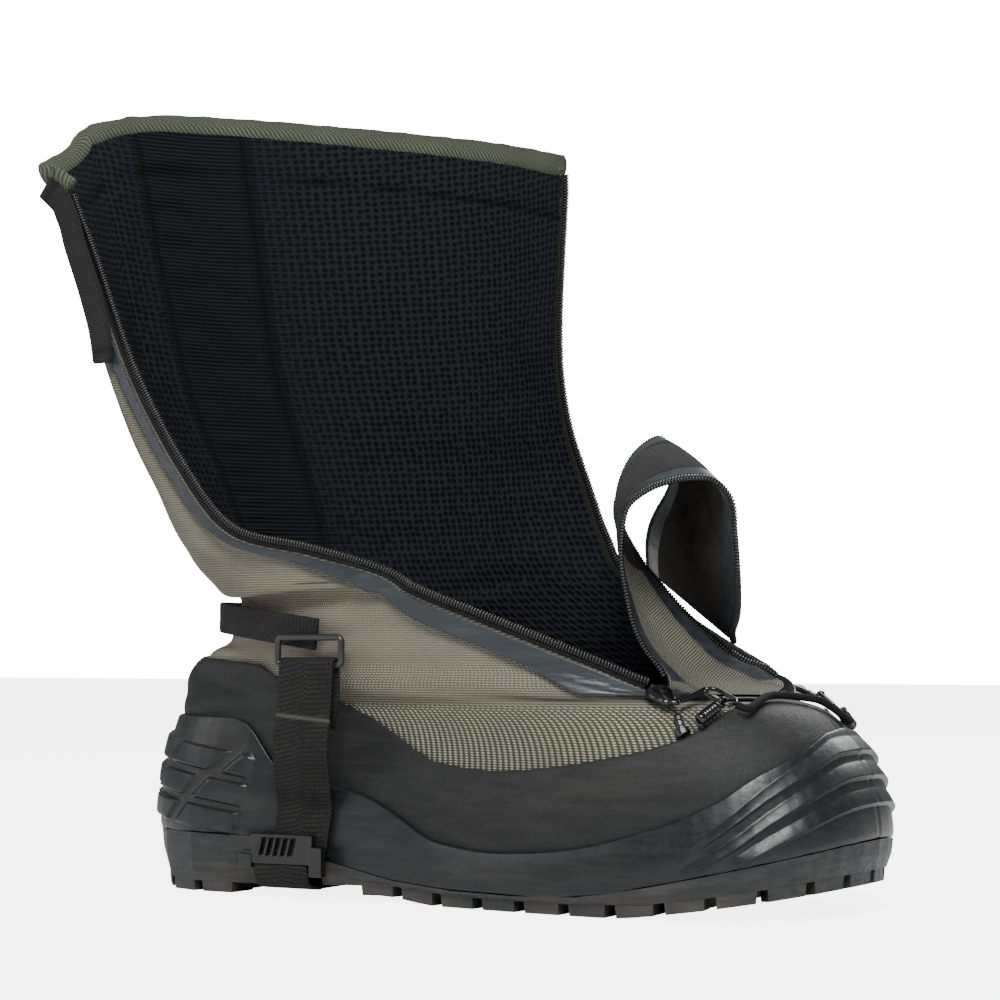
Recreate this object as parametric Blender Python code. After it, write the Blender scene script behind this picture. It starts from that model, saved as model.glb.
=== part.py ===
# Winter overshoe for the right foot, standing open on its sole.
# Metres, +X towards the toe, -Y towards the outer side, +Z up.
# The origin is the middle of the flat heel lug, on the floor.

import bpy
import bmesh
import numpy as np
from mathutils import Vector
from mathutils.bvhtree import BVHTree

# Driving sizes

SOLE_LENGTH = 0.345
BALL_WIDTH = 0.128
HEEL_WIDTH = 0.097
HEEL_SETBACK = 0.046          # from the back of the sole to the origin
HEEL_RISE = 0.027             # top of the outsole at the heel
TOE_SPRING = 0.0135           # height of the tread at the toe tip
BED_HEIGHT = 0.036            # floor of the foot at the heel
LUG_DEPTH = 0.0048
LUG_LENGTH = 0.017            # along the edge of the sole
LUG_REACH = 0.020             # inwards from the edge
LUG_GAP = 0.0045
TREAD_DRAFT = 0.003           # how far the tread edge leans in at the floor

THROAT_HEIGHT = 0.090
SHAFT_RISE = 0.290            # from the throat to the highest point of the collar
UPPER_WALL = 0.0020
RAND_WALL = 0.0014
SHELL_EDGE = 0.0022           # wall of the shell at its upper edge
SHELL_SWELL = 0.28            # swelling of the shell's side, as a share of its lean
GAP = 0.0003
CLEAR = 0.0006

INSOLE_WALL = 0.0030
TONGUE_WALL = 0.0020

BINDING_HEIGHT = 0.011
BINDING_WALL = 0.0046
TAB_WALL = 0.0024
TAB_WIDTH = 0.012

TAPE_WALL = 0.0008
TAPE_WIDTH = 0.017
COIL_WIDTH = 0.0042
COIL_WALL = 0.0026

STRAP_WIDTH = 0.028
STRAP_WALL = 0.0016
STRAP_STATION = 0.090         # from the back of the sole to the buckles
CHANNEL_HEIGHT = 0.0105       # roof of the groove for the strap under the sole
ANKLE_STRAP_WIDTH = 0.014
ANKLE_STRAP_LEVEL = 1.118     # level of its middle at the back
RING_WIRE = 0.0030
RING_LEAN = 0.020             # how far the ring stands ahead of the buckle
RING_HEIGHT = 0.012           # between the middles of its two bars
RING_LEVEL = 1.084            # level of its upper bar
BUCKLE_WALL = 0.0050
BUCKLE_HEIGHT = 0.013
BUCKLE_TOP = 0.028
BUCKLE_PRONG = 0.012
STRAP_STANDOFF = 0.0030       # from the sole's outline to the strap
UNDERFOOT_HEIGHT = 0.0045     # middle of the webbing in the groove

SLIDER_LENGTH = 0.0135
SLIDER_WIDTH = 0.0095
SLIDER_WALL = 0.0024
LINK_WIRE = 0.0016
LINK_LENGTH = 0.0155
LINK_WIDTH = 0.0070
TAB_PLACE = 0.26              # along the link from its middle, as a share of its length
PULL_TAB_LENGTH = 0.0125
PULL_TAB_WIDTH = 0.0052
CORD_DIAMETER = 0.0032
CORD_POINTS = 16

HEEL_BLOCK_RISE = 0.0016
TOE_RIB_RISE = 0.0016
TOE_RIB_WIDTH = 0.0075
HEEL_CUP_REACH = 0.100        # round the heel, from its middle
HEEL_BLOCK_TOP = 0.075
HEEL_BLOCK_PITCH = 0.0130
HEEL_BLOCK_HEIGHT = 0.0098
HEEL_BLOCK_SLOPE = 0.14       # fall of the rows towards the toe

HALF_COLUMNS = 18             # columns from the front to the back, each side
COLLAR_SKEW = 1.5             # leans the inner side's rise towards the back
END_CROWD = 0.4               # how much closer the columns stand at toe and heel

# Outline of the sole, a row for each point, from the toe tip to the heel.
# Columns: along as a share of the sole's length, then the distance from the
# middle line as a share of half the heel width plus a share of half the ball width.
OUTER_OUTLINE = [
    (1.000, 0.00, -0.10), (0.992, 0.00, 0.22), (0.966, 0.00, 0.54), (0.905, 0.00, 0.82),
    (0.800, 0.00, 0.98), (0.681, 0.00, 1.00), (0.551, 0.20, 0.78), (0.420, 0.55, 0.41),
    (0.290, 0.85, 0.12), (0.174, 1.00, 0.00), (0.087, 0.96, 0.00), (0.030, 0.74, 0.00),
    (0.005, 0.38, 0.00), (0.000, 0.00, 0.00)]
INNER_OUTLINE = [
    (1.000, 0.00, 0.10), (0.993, 0.00, 0.42), (0.972, 0.00, 0.70), (0.915, 0.00, 0.90),
    (0.797, 0.00, 0.97), (0.681, 0.00, 0.92), (0.551, 0.15, 0.64), (0.420, 0.50, 0.27),
    (0.290, 0.75, 0.09), (0.174, 0.95, 0.00), (0.087, 0.93, 0.00), (0.030, 0.74, 0.00),
    (0.005, 0.38, 0.00), (0.000, 0.00, 0.00)]

# Side view of the sole. Columns: along, tread as a share of the toe spring,
# top of the outsole as a share of the heel rise, floor as a share of the bed height.
SOLE_PROFILE = [
    (0.000, 0.60, 1.00, 1.00), (0.035, 0.16, 1.00, 1.00), (0.060, 0.00, 0.99, 1.00),
    (0.180, 0.00, 0.95, 0.97), (0.275, 0.00, 0.74, 0.88), (0.330, 0.10, 0.58, 0.80),
    (0.400, 0.20, 0.40, 0.70), (0.480, 0.00, 0.29, 0.60), (0.560, 0.00, 0.27, 0.54),
    (0.680, 0.00, 0.28, 0.52), (0.740, 0.00, 0.38, 0.54), (0.800, 0.16, 0.53, 0.60),
    (0.880, 0.45, 0.75, 0.74), (0.960, 0.80, 1.00, 0.92), (1.000, 1.00, 1.15, 1.00)]

# Sections of the foot part of the upper, each the sole's outline drawn in.
# Columns: height at the back and at the front as shares of the throat height, back and
# front end as shares of the sole's length, widths at heel, ball and toe as shares of the sole's.
FOOT_SECTIONS = [
    (None, None, 0.021, 0.975, 0.86, 0.89, 0.88),
    (0.56, 0.56, 0.020, 0.972, 0.89, 0.91, 0.87),
    (0.70, 0.71, 0.030, 0.962, 0.88, 0.90, 0.82),
    (0.80, 0.82, 0.036, 0.945, 0.87, 0.89, 0.73),
    (0.87, 0.91, 0.039, 0.918, 0.86, 0.88, 0.67),
    (0.94, 0.965, 0.039, 0.868, 0.85, 0.87, 0.66)]

# Sections of the shaft, each one curve from the outer zip edge round the heel to the
# inner zip edge. Lengths are shares of the sole's length (x), of half the ball width (y);
# heights are shares of the throat height up to 1 and then 1 plus shares of the shaft rise.
# Columns: outer end x, y, height, outer widest x, y, outer middle height,
# back x, y, height, inner widest x, y, inner middle height, inner end x, y, height.
SHAFT_SECTIONS = [
    (0.777, -0.50, 0.995, 0.60, -0.85, 1.005, 0.016, 0.00, 1.02, 0.62, 0.80, 1.01, 0.852, 0.41, 1.010),
    (0.681, -0.74, 1.045, 0.48, -0.87, 1.045, 0.047, 0.00, 1.06, 0.42, 0.79, 1.05, 0.730, 0.69, 1.076),
    (0.516, -0.91, 1.121, 0.38, -0.91, 1.09, 0.090, 0.00, 1.10, 0.42, 0.78, 1.11, 0.594, 0.84, 1.172),
    (0.458, -0.94, 1.148, 0.36, -0.94, 1.155, 0.100, 0.00, 1.150, 0.41, 0.84, 1.15, 0.551, 0.91, 1.241),
    (0.414, -0.95, 1.176, 0.33, -1.02, 1.143, 0.090, -0.03, 1.17, 0.38, 0.97, 1.19, 0.522, 0.94, 1.328),
    (0.319, -1.03, 1.207, 0.25, -1.04, 1.18, 0.066, -0.06, 1.21, 0.35, 1.12, 1.26, 0.499, 0.94, 1.414),
    (0.206, -1.09, 1.241, 0.19, -1.09, 1.23, 0.044, -0.09, 1.27, 0.32, 1.22, 1.34, 0.487, 0.94, 1.500),
    (0.119, -1.04, 1.341, 0.10, -1.04, 1.34, 0.006, -0.12, 1.36, 0.30, 1.28, 1.43, 0.485, 0.94, 1.586),
    (0.020, -0.92, 1.500, 0.00, -0.92, 1.50, -0.060, -0.16, 1.52, 0.29, 1.33, 1.58, 0.488, 0.95, 1.690),
    (-0.060, -0.84, 1.690, -0.07, -0.84, 1.70, -0.118, -0.15, 1.74, 0.27, 1.36, 1.78, 0.493, 0.95, 1.793),
    (-0.102, -0.84, 1.800, -0.13, -0.84, 1.845, -0.155, -0.19, 1.912, 0.255, 1.38, 1.937, 0.494, 0.94, 1.834)]

# The folded strip at the collar's outer end, down the middle of it. Columns: along as a
# share of the sole's length, across as a share of half the ball width, height as a level.
TAB_PATH = [(-0.124, -0.88, 1.815), (-0.096, -0.90, 1.783), (-0.075, -0.91, 1.717),
            (-0.046, -0.92, 1.638), (-0.023, -0.93, 1.566), (-0.014, -0.94, 1.520)]

# How much of the tape's width lies flat. Columns: share of the way from the slider
# to the collar, share of the width.
TAPE_SHOWN = [(0.0, 1.0), (0.25, 0.80), (0.40, 0.50), (0.52, 0.28), (1.0, 0.28)]

# Plan of a zip slider, half of it. Columns: along as a share of its length, half width
# as a share of its width.
SLIDER_PLAN = [(-0.50, 0.0), (-0.40, 0.40), (-0.05, 0.50), (0.25, 0.34), (0.44, 0.25), (0.50, 0.0)]

# Fittings at the ends of the two zips, outer side -1 and inner side +1: where each starts and
# points to (along, across, level) and its height above the upper's face.
ZIP_FITTINGS = {
    -1: {"slider": ((0.776, -0.62, 0.96), (0.803, -0.67, 0.80), 0.0032),
         "foot": ((0.798, -0.620, 0.86), (0.810, -0.65, 0.78), 0.0014),
         "link": ((0.838, -0.48, 0.93), (0.878, -0.53, 0.87), 0.0062), "rest": 0.0034},
    1: {"slider": ((0.862, 0.53, 0.96), (0.885, 0.60, 0.84), 0.0056),
        "foot": ((0.886, 0.57, 0.89), (0.905, 0.62, 0.80), 0.0036),
        "link": ((0.915, 0.36, 0.93), (0.950, 0.32, 0.88), 0.0062), "rest": 0.0034}}

# The pull cord over the vamp, between the links. Columns: along, across, level.
CORD_PATH = [(0.880, -0.33, 0.955), (0.882, -0.20, 0.98), (0.901, 0.03, 0.985), (0.925, 0.19, 0.985)]

# Side view of the rand and counter's upper edge, from the toe back to the heel.
# Columns: along as a share of the sole's length, height as a level.
RAND_EDGE = [
    (0.874, 1.020), (0.864, 0.955), (0.838, 0.890), (0.822, 0.790), (0.780, 0.745), (0.719, 0.710), (0.635, 0.650), (0.562, 0.630),
    (0.513, 0.645), (0.470, 0.690), (0.429, 0.725), (0.394, 0.740), (0.377, 0.790), (0.372, 0.900),
    (0.368, 0.990), (0.355, 1.030), (0.319, 1.036), (0.223, 1.040), (0.183, 1.046), (0.120, 1.050),
    (0.000, 1.050)]

# Upper edge of the moulded shell. Columns: station, 0 at the toe tip to 1 at the back
# of the heel, then the section of the upper that it reaches.
SHELL_TOP = [
    (0.00, 3.0), (0.05, 2.8), (0.10, 2.1), (0.15, 1.45), (0.185, 0.88), (0.23, 0.57), (0.31, 0.31),
    (0.37, 0.20), (0.445, 0.13), (0.49, 0.14), (0.535, 0.20), (0.57, 0.45), (0.61, 0.73),
    (0.635, 0.85), (0.70, 1.05), (0.74, 1.35), (0.765, 2.2), (0.79, 3.8), (0.86, 4.0), (1.0, 4.1)]

# Raised blocks of the heel cup. Columns: start and end at the top edge, start and end
# at the bottom edge, as shares of the cup's reach round from the middle of the heel.
HEEL_BLOCK_ROWS = [
    [(-0.14, 0.13, -0.13, 0.11), (0.18, 0.47, 0.17, 0.41), (0.54, 0.84, 0.48, 0.73), (0.90, 0.96, 0.80, 0.94)],
    [(-0.12, 0.11, -0.10, 0.08), (0.16, 0.39, 0.14, 0.33), (0.45, 0.68, 0.39, 0.60), (0.74, 0.94, 0.66, 0.92)],
    [(-0.10, 0.09, -0.08, 0.06), (0.14, 0.31, 0.12, 0.26), (0.37, 0.58, 0.32, 0.50), (0.64, 0.92, 0.56, 0.90)]]

# Ribs of the toe cap, outer side from their start to the middle of the toe.
# Columns: station, height up the shell's face as a share.
TOE_RIBS = [
    [(-0.235, 0.30), (-0.200, 0.56), (-0.150, 0.74), (-0.100, 0.84), (-0.050, 0.86), (0.0, 0.84)],
    [(-0.240, 0.08), (-0.190, 0.30), (-0.140, 0.50), (-0.090, 0.61), (-0.045, 0.63), (0.0, 0.62)],
    [(-0.195, 0.05), (-0.140, 0.24), (-0.090, 0.35), (-0.045, 0.38), (0.0, 0.38)]]

# Levels of the upper that get a row of faces. The throat's front is at CROTCH_LEVEL.
FOOT_LEVELS = [0.0, 1.0, 2.0, 3.0, 4.0, 5.0, 5.6, 6.0, 7.0, 8.0]
SHAFT_LEVELS = [8.5, 9.0, 9.5, 10.0, 10.5, 11.0, 11.5, 12.0, 12.5, 13.0, 13.5, 14.0, 15.0, 16.0]
CROTCH_LEVEL = 5.0

# The tongue, from its root on the vamp up, over and down again. Columns: along as a share
# of the sole's length, across as a share of half the ball width, height as a level, for
# the outer edge and then the inner edge, and the swell of the middle as a share.
TONGUE_ROWS = [
    (0.766, -0.46, 1.034, 0.840, 0.37, 1.024, 0.10),
    (0.748, -0.48, 1.060, 0.828, 0.34, 1.034, 0.14),
    (0.734, -0.50, 1.090, 0.802, 0.30, 1.046, 0.16),
    (0.722, -0.53, 1.145, 0.762, 0.23, 1.083, 0.16),
    (0.716, -0.56, 1.210, 0.713, 0.14, 1.148, 0.14),
    (0.725, -0.58, 1.269, 0.684, 0.02, 1.207, 0.12),
    (0.745, -0.58, 1.293, 0.655, 0.06, 1.269, 0.10),
    (0.774, -0.58, 1.307, 0.649, 0.19, 1.324, 0.06),
    (0.809, -0.56, 1.314, 0.663, 0.31, 1.369, 0.04),
    (0.838, -0.55, 1.308, 0.684, 0.42, 1.388, 0.02),
    (0.857, -0.53, 1.283, 0.694, 0.52, 1.366, 0.01),
    (0.860, -0.50, 1.234, 0.682, 0.62, 1.316, 0.00),
    (0.856, -0.42, 1.180, 0.652, 0.72, 1.272, 0.00),
    (0.832, -0.14, 1.126, 0.632, 0.84, 1.238, 0.00),
    (0.798, 0.18, 1.098, 0.620, 0.97, 1.206, 0.00),
    (0.784, 0.36, 1.086, 0.616, 1.03, 1.190, 0.00)]
TONGUE_COLUMNS = 7


def clear_scene():
    for old in list(bpy.data.objects):
        bpy.data.objects.remove(old, do_unlink=True)


def smooth(rows, at):
    """Values of a table's columns at positions in its first column, on a smooth curve."""
    table = np.array(rows, float)
    keys, values = table[:, 0], table[:, 1:]
    at = np.clip(np.asarray(at, float), keys[0], keys[-1])
    slopes = np.gradient(values, keys, axis=0)
    cell = np.clip(np.searchsorted(keys, at, side="right") - 1, 0, len(keys) - 2)
    span = keys[cell + 1] - keys[cell]
    t = ((at - keys[cell]) / span)[..., None]
    span = span[..., None]
    return ((1 + 2 * t) * (1 - t) ** 2 * values[cell] + t * (1 - t) ** 2 * span * slopes[cell]
            + t * t * (3 - 2 * t) * values[cell + 1] + t * t * (t - 1) * span * slopes[cell + 1])


def even(points, count, crowd=0.0):
    """A polyline's points moved to equal steps along it, or crowded towards its ends."""
    steps = np.linalg.norm(np.diff(points, axis=0), axis=1)
    run = np.concatenate([[0.0], np.cumsum(steps)])
    share = np.linspace(0.0, 1.0, count)
    at = run[-1] * (share - crowd * np.sin(2 * np.pi * share) / (2 * np.pi))
    return np.stack([np.interp(at, run, points[:, k]) for k in range(points.shape[1])], 1)


def smooth_path(points, count, crowd=0.0):
    """Steps along a smooth curve through a few points."""
    points = np.array(points, float)
    steps = np.linalg.norm(np.diff(points, axis=0), axis=1)
    run = np.concatenate([[0.0], np.cumsum(steps)])
    dense = smooth(np.column_stack([run, points]), np.linspace(0.0, run[-1], 400))
    return even(dense, count, crowd)


def station_x(share):
    """World x of a share of the sole's length."""
    return share * SOLE_LENGTH - HEEL_SETBACK


def half_outline(table, side, count):
    """One side of the sole's outline from the toe tip to the back of the heel."""
    rows = np.array(table)
    across = side * (rows[:, 1] * HEEL_WIDTH + rows[:, 2] * BALL_WIDTH) / 2
    return smooth_path(np.stack([station_x(rows[:, 0]), across], 1), count, END_CROWD)


def sole_outline():
    """Points round the sole: toe tip, outer side, heel, inner side, toe tip."""
    outer = half_outline(OUTER_OUTLINE, -1, HALF_COLUMNS + 1)
    inner = half_outline(INNER_OUTLINE, 1, HALF_COLUMNS + 1)
    return np.concatenate([outer, inner[::-1][1:]])


def sole_heights(x):
    """Tread, top of the outsole and floor of the foot at world x."""
    share = (np.asarray(x) + HEEL_SETBACK) / SOLE_LENGTH
    profile = smooth(SOLE_PROFILE, share)
    return np.maximum(profile[..., 0], 0.0) * TOE_SPRING, profile[..., 1] * HEEL_RISE, profile[..., 2] * BED_HEIGHT


def level_height(h):
    """Height of a level: shares of the throat height, then of the shaft rise."""
    return THROAT_HEIGHT * np.minimum(h, 1.0) + SHAFT_RISE * np.maximum(np.asarray(h) - 1.0, 0.0)


def foot_section(row):
    """One closed section of the foot part, drawn in from the sole's outline."""
    back_height, front_height, back, front, heel_share, ball_share, toe_share = row
    ring = sole_outline()
    share = (ring[:, 0] + HEEL_SETBACK) / SOLE_LENGTH
    x = station_x(back + (front - back) * share)
    y = ring[:, 1] * np.interp(share, (0.15, 0.65, 1.0), (heel_share, ball_share, toe_share))
    if back_height is None:
        z = sole_heights(x)[2] + CLEAR
    else:
        z = THROAT_HEIGHT * (back_height + (front_height - back_height) * share)
    return np.stack([x, y, z], 1)


def shaft_half(end, widest, back, middle, skew):
    """Half a shaft section: quarter ellipse from the back to the widest point, then a bow."""
    turn = np.linspace(0.0, np.pi / 2, 40)
    quarter = np.stack([widest[0] - (widest[0] - back[0]) * np.cos(turn),
                        back[1] + (widest[1] - back[1]) * np.sin(turn)], 1)
    t = np.linspace(0.0, 1.0, 20)[1:]
    bow = np.stack([widest[0] + (end[0] - widest[0]) * t,
                    widest[1] + (end[1] - widest[1]) * t * t], 1)
    path = even(np.concatenate([quarter, bow])[::-1], HALF_COLUMNS + 1, END_CROWD)
    s = np.linspace(0.0, 1.0, HALF_COLUMNS + 1)
    bow = np.sin(np.pi * s ** skew) / np.sin(np.pi * 0.5 ** skew)
    height = end[2] * (1 - s) + back[2] * s + (middle - (end[2] + back[2]) / 2) * bow
    return np.column_stack([path, level_height(height)])


def shaft_section(row):
    """One open section of the shaft, from the outer zip edge to the inner."""
    row = np.array(row, float)
    along = station_x(row[[0, 3, 6, 9, 12]])
    across = row[[1, 4, 7, 10, 13]] * BALL_WIDTH / 2
    back = (along[2], across[2], row[8])
    outer = shaft_half((along[0], across[0], row[2]), (along[1], across[1]), back, row[5], 1.0)
    inner = shaft_half((along[4], across[4], row[14]), (along[3], across[3]), back, row[11], COLLAR_SKEW)
    return np.concatenate([outer, inner[::-1][1:]])


def upper_sections():
    """All control sections of the upper, from the sole to the collar."""
    return np.array([foot_section(row) for row in FOOT_SECTIONS]
                    + [shaft_section(row) for row in SHAFT_SECTIONS])


SECTIONS = upper_sections()
COLUMNS = 2 * HALF_COLUMNS
HALF_SHARES = np.linspace(0.0, 1.0, HALF_COLUMNS + 1)
HALF_STATIONS = HALF_SHARES - END_CROWD * np.sin(2 * np.pi * HALF_SHARES) / (2 * np.pi)
STATIONS = np.concatenate([HALF_STATIONS, HALF_STATIONS[::-1][1:]])


def column_at(station, side):
    """Column of a station, on the outer side for -1 and the inner side for +1."""
    column = np.interp(station, HALF_STATIONS, np.arange(HALF_COLUMNS + 1))
    return COLUMNS - column if side > 0 else column


def upper_at(level, column):
    """Point of the upper's outer face at a level and column, both may be fractions."""
    level = np.asarray(level, float)
    keys = np.arange(len(SECTIONS))
    flat = SECTIONS.reshape(len(SECTIONS), -1)
    stack = smooth(np.column_stack([keys, flat]), level.ravel())
    stack = stack.reshape(-1, COLUMNS + 1, 3)
    column = np.broadcast_to(np.asarray(column, float), level.shape).ravel()
    low = np.clip(np.floor(column).astype(int), 0, COLUMNS - 1)
    part = (column - low)[:, None]
    pick = np.arange(len(column))
    points = stack[pick, low] * (1 - part) + stack[pick, low + 1] * part
    return points.reshape(level.shape + (3,))


def grid_normals(grid, closed=False):
    """Unit normals of a grid of points, outwards for rows up and columns toe to heel."""
    up = np.gradient(grid, axis=0)
    if closed:
        padded = np.concatenate([grid[:, -2:-1], grid, grid[:, 1:2]], 1)
        along = (padded[:, 2:] - padded[:, :-2]) / 2
    else:
        along = np.gradient(grid, axis=1)
    normal = np.cross(up, along)
    return normal / np.maximum(np.linalg.norm(normal, axis=2, keepdims=True), 1e-12)


def set_material(obj, colour, roughness, metallic=0.0):
    material = bpy.data.materials.new(obj.name + "_finish")
    material.use_nodes = True
    shader = material.node_tree.nodes["Principled BSDF"]
    shader.inputs["Base Color"].default_value = (*colour, 1.0)
    shader.inputs["Roughness"].default_value = roughness
    shader.inputs["Metallic"].default_value = metallic
    obj.data.materials.clear()
    obj.data.materials.append(material)


def new_object(name, points, faces, finish, sharp=0.6):
    """A mesh object with its faces turned outwards."""
    mesh = bpy.data.meshes.new(name)
    mesh.from_pydata([tuple(p) for p in points], [], faces)
    work = bmesh.new()
    work.from_mesh(mesh)
    bmesh.ops.recalc_face_normals(work, faces=work.faces)
    work.to_mesh(mesh)
    work.free()
    mesh.shade_smooth()
    mesh.set_sharp_from_angle(angle=sharp)
    obj = bpy.data.objects.new(name, mesh)
    bpy.context.scene.collection.objects.link(obj)
    if finish:
        set_material(obj, *finish)
    return obj


def wall_solid(name, outer, inner, closed_rows, finish):
    """A wall between two grids. Rows below closed_rows join round at their ends."""
    rows, columns = outer.shape[:2]
    ids = np.arange(rows * columns).reshape(rows, columns)
    ids[:closed_rows, -1] = ids[:closed_rows, 0]
    ids_in = ids + rows * columns
    points = np.concatenate([outer.reshape(-1, 3), inner.reshape(-1, 3)])
    faces = []
    for r in range(rows - 1):
        for c in range(columns - 1):
            for grid in (ids, ids_in):
                faces.append((grid[r, c], grid[r + 1, c], grid[r + 1, c + 1]))
                faces.append((grid[r, c], grid[r + 1, c + 1], grid[r, c + 1]))
    for c in range(columns - 1):
        for r in (0, rows - 1):
            faces.append((ids[r, c], ids[r, c + 1], ids_in[r, c + 1], ids_in[r, c]))
    for r in range(max(closed_rows - 1, 0), rows - 1):
        for c in (0, columns - 1):
            faces.append((ids[r, c], ids[r + 1, c], ids_in[r + 1, c], ids_in[r, c]))
    used = sorted({i for face in faces for i in face})
    place = {old: new for new, old in enumerate(used)}
    faces = [tuple(place[i] for i in face) for face in faces]
    return new_object(name, points[used], faces, finish)


def strip_faces(ring, half, flip=False):
    """Faces across a ring whose points pair up on its two sides."""
    total = len(ring)
    faces = [(ring[0], ring[1], ring[-1])]
    for j in range(1, half - 1):
        faces.append((ring[j], ring[j + 1], ring[total - j - 1], ring[total - j]))
    faces.append((ring[half - 1], ring[half], ring[half + 1]))
    return [face[::-1] for face in faces] if flip else faces


def ring_solid(name, rings, finish):
    """Rings of points one above the other, joined and closed at both ends."""
    count = len(rings[0])
    half = count // 2
    points = np.concatenate(rings)
    ids = np.arange(len(points)).reshape(len(rings), count)
    faces = strip_faces(list(ids[0]), half) + strip_faces(list(ids[-1]), half, True)
    for low, high in zip(ids[:-1], ids[1:]):
        for j in range(count):
            k = (j + 1) % count
            faces.append((low[j], low[k], high[k], high[j]))
    return new_object(name, points, faces, finish)


def ring_normals(ring):
    """Outward directions of a closed flat ring, level with the floor."""
    along = np.roll(ring, -1, 0) - np.roll(ring, 1, 0)
    normal = np.stack([along[:, 1], -along[:, 0]], 1)
    normal /= np.linalg.norm(normal, axis=1, keepdims=True)
    outward = (normal * (ring - ring.mean(0))).sum() > 0
    return normal if outward else -normal


def with_height(ring, height):
    return np.column_stack([ring[:, 0], ring[:, 1], np.broadcast_to(height, len(ring))])


def join(name, objects):
    """One object from several separate bodies, which are removed."""
    points, faces = [], []
    for obj in objects:
        start = len(points)
        points += [tuple(v.co) for v in obj.data.vertices]
        faces += [tuple(start + i for i in face.vertices) for face in obj.data.polygons]
        bpy.data.objects.remove(obj, do_unlink=True)
    return new_object(name, points, faces, None)


def boolean(obj, cutters, operation, solver="EXACT"):
    """Join or cut an object with separate bodies that stay clear of each other."""
    cutter = join(obj.name + "_" + operation.lower(), cutters)
    cutter.hide_render = True
    cutter.display_type = "WIRE"
    modifier = obj.modifiers.new(operation.title(), "BOOLEAN")
    modifier.operation = operation
    modifier.solver = solver
    modifier.object = cutter


def block(name, corners, finish=None):
    """A six-sided body from its lower four corners and its upper four."""
    faces = [(0, 1, 2, 3), (4, 5, 6, 7), (0, 1, 5, 4), (1, 2, 6, 5), (2, 3, 7, 6), (3, 0, 4, 7)]
    return new_object(name, corners, faces, finish)


def box(name, low, high, finish=None):
    (x0, y0, z0), (x1, y1, z1) = low, high
    flat = [(x0, y0), (x1, y0), (x1, y1), (x0, y1)]
    return block(name, [(x, y, z0) for x, y in flat] + [(x, y, z1) for x, y in flat], finish)


def flat_profile(width, wall):
    """Section of webbing or tape."""
    w, t = width / 2, wall / 2
    return np.array([(-w, -t), (w, -t), (w, t), (-w, t)])


def round_profile(width, wall, sides):
    turn = np.arange(sides) * 2 * np.pi / sides + np.pi / sides
    return np.stack([np.cos(turn) * width / 2, np.sin(turn) * wall / 2], 1)


def sweep(name, path, sides, profile, finish, closed=False, scale=None):
    """A profile carried along a path; sides are the directions of its width."""
    path, sides = np.array(path, float), np.array(sides, float)
    if closed:
        tangent = np.roll(path, -1, 0) - np.roll(path, 1, 0)
    else:
        tangent = np.gradient(path, axis=0)
    tangent /= np.linalg.norm(tangent, axis=1, keepdims=True)
    sides = sides - (sides * tangent).sum(1, keepdims=True) * tangent
    sides /= np.linalg.norm(sides, axis=1, keepdims=True)
    normal = np.cross(sides, tangent)
    size = np.ones(len(path)) if scale is None else scale
    profile = size[:, None, None] * profile[None]
    points = path[:, None] + sides[:, None] * profile[..., :1] + normal[:, None] * profile[..., 1:]
    rows, count = points.shape[:2]
    ids = np.arange(rows * count).reshape(rows, count)
    faces = []
    for r in range(rows if closed else rows - 1):
        for c in range(count):
            k, q = (c + 1) % count, (r + 1) % rows
            faces.append((ids[r, c], ids[r, k], ids[q, k], ids[q, c]))
    if not closed:
        faces += [tuple(ids[0]), tuple(ids[-1])]
    return new_object(name, points.reshape(-1, 3), faces, finish)


OLIVE = ((0.20, 0.19, 0.14), 0.85)
LINING = ((0.01, 0.013, 0.018), 0.9)
SLATE = ((0.045, 0.06, 0.075), 0.45)
MATTE_BLACK = ((0.025, 0.026, 0.028), 0.8)
RUBBER = ((0.03, 0.033, 0.035), 0.5)
TREAD = ((0.042, 0.045, 0.048), 0.6)
WEBBING = ((0.012, 0.012, 0.013), 0.85)
GLOSS_BLACK = ((0.006, 0.006, 0.007), 0.2)
WIRE = ((0.02, 0.02, 0.022), 0.35)

OUTLINE = sole_outline()[:-1]
OUTWARD = ring_normals(OUTLINE)
RAND_LIFT = 2 * CLEAR + 3 * GAP + RAND_WALL
STRAP_X = station_x(STRAP_STATION / SOLE_LENGTH)
RING_X = STRAP_X + RING_LEAN


def edge_at(distance, inset=0.0):
    """Point and outward direction on the sole's edge, a distance round from the toe tip."""
    ring = np.concatenate([OUTLINE, OUTLINE[:1]])
    normals = np.concatenate([OUTWARD, OUTWARD[:1]])
    run = np.concatenate([[0.0], np.cumsum(np.linalg.norm(np.diff(ring, axis=0), axis=1))])
    distance = np.mod(distance, run[-1])
    point = np.array([np.interp(distance, run, ring[:, k]) for k in range(2)])
    normal = np.array([np.interp(distance, run, normals[:, k]) for k in range(2)])
    normal /= np.linalg.norm(normal)
    return point - normal * inset, normal, run[-1]


def make_outsole():
    """Tread slab with lugs round its edge and across its middle, and the strap's groove."""
    tread, top, _ = sole_heights(OUTLINE[:, 0])
    lower = with_height(OUTLINE - OUTWARD * TREAD_DRAFT, tread + LUG_DEPTH)
    middle = with_height(OUTLINE - OUTWARD * TREAD_DRAFT * 0.25, (tread + LUG_DEPTH) * 0.5 + top * 0.5)
    upper = with_height(OUTLINE, top)
    outsole = ring_solid("outsole", [lower, middle, upper], TREAD)
    strap_x = station_x(STRAP_STATION / SOLE_LENGTH)
    groove = STRAP_WIDTH / 2 + 0.002
    boolean(outsole, edge_lugs(strap_x, groove) + middle_lugs(strap_x, groove), "UNION", "MANIFOLD")
    cut = box("groove", (strap_x - groove, -BALL_WIDTH, -TOE_SPRING),
              (strap_x + groove, BALL_WIDTH, CHANNEL_HEIGHT))
    boolean(outsole, [cut], "DIFFERENCE")
    return outsole


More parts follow.
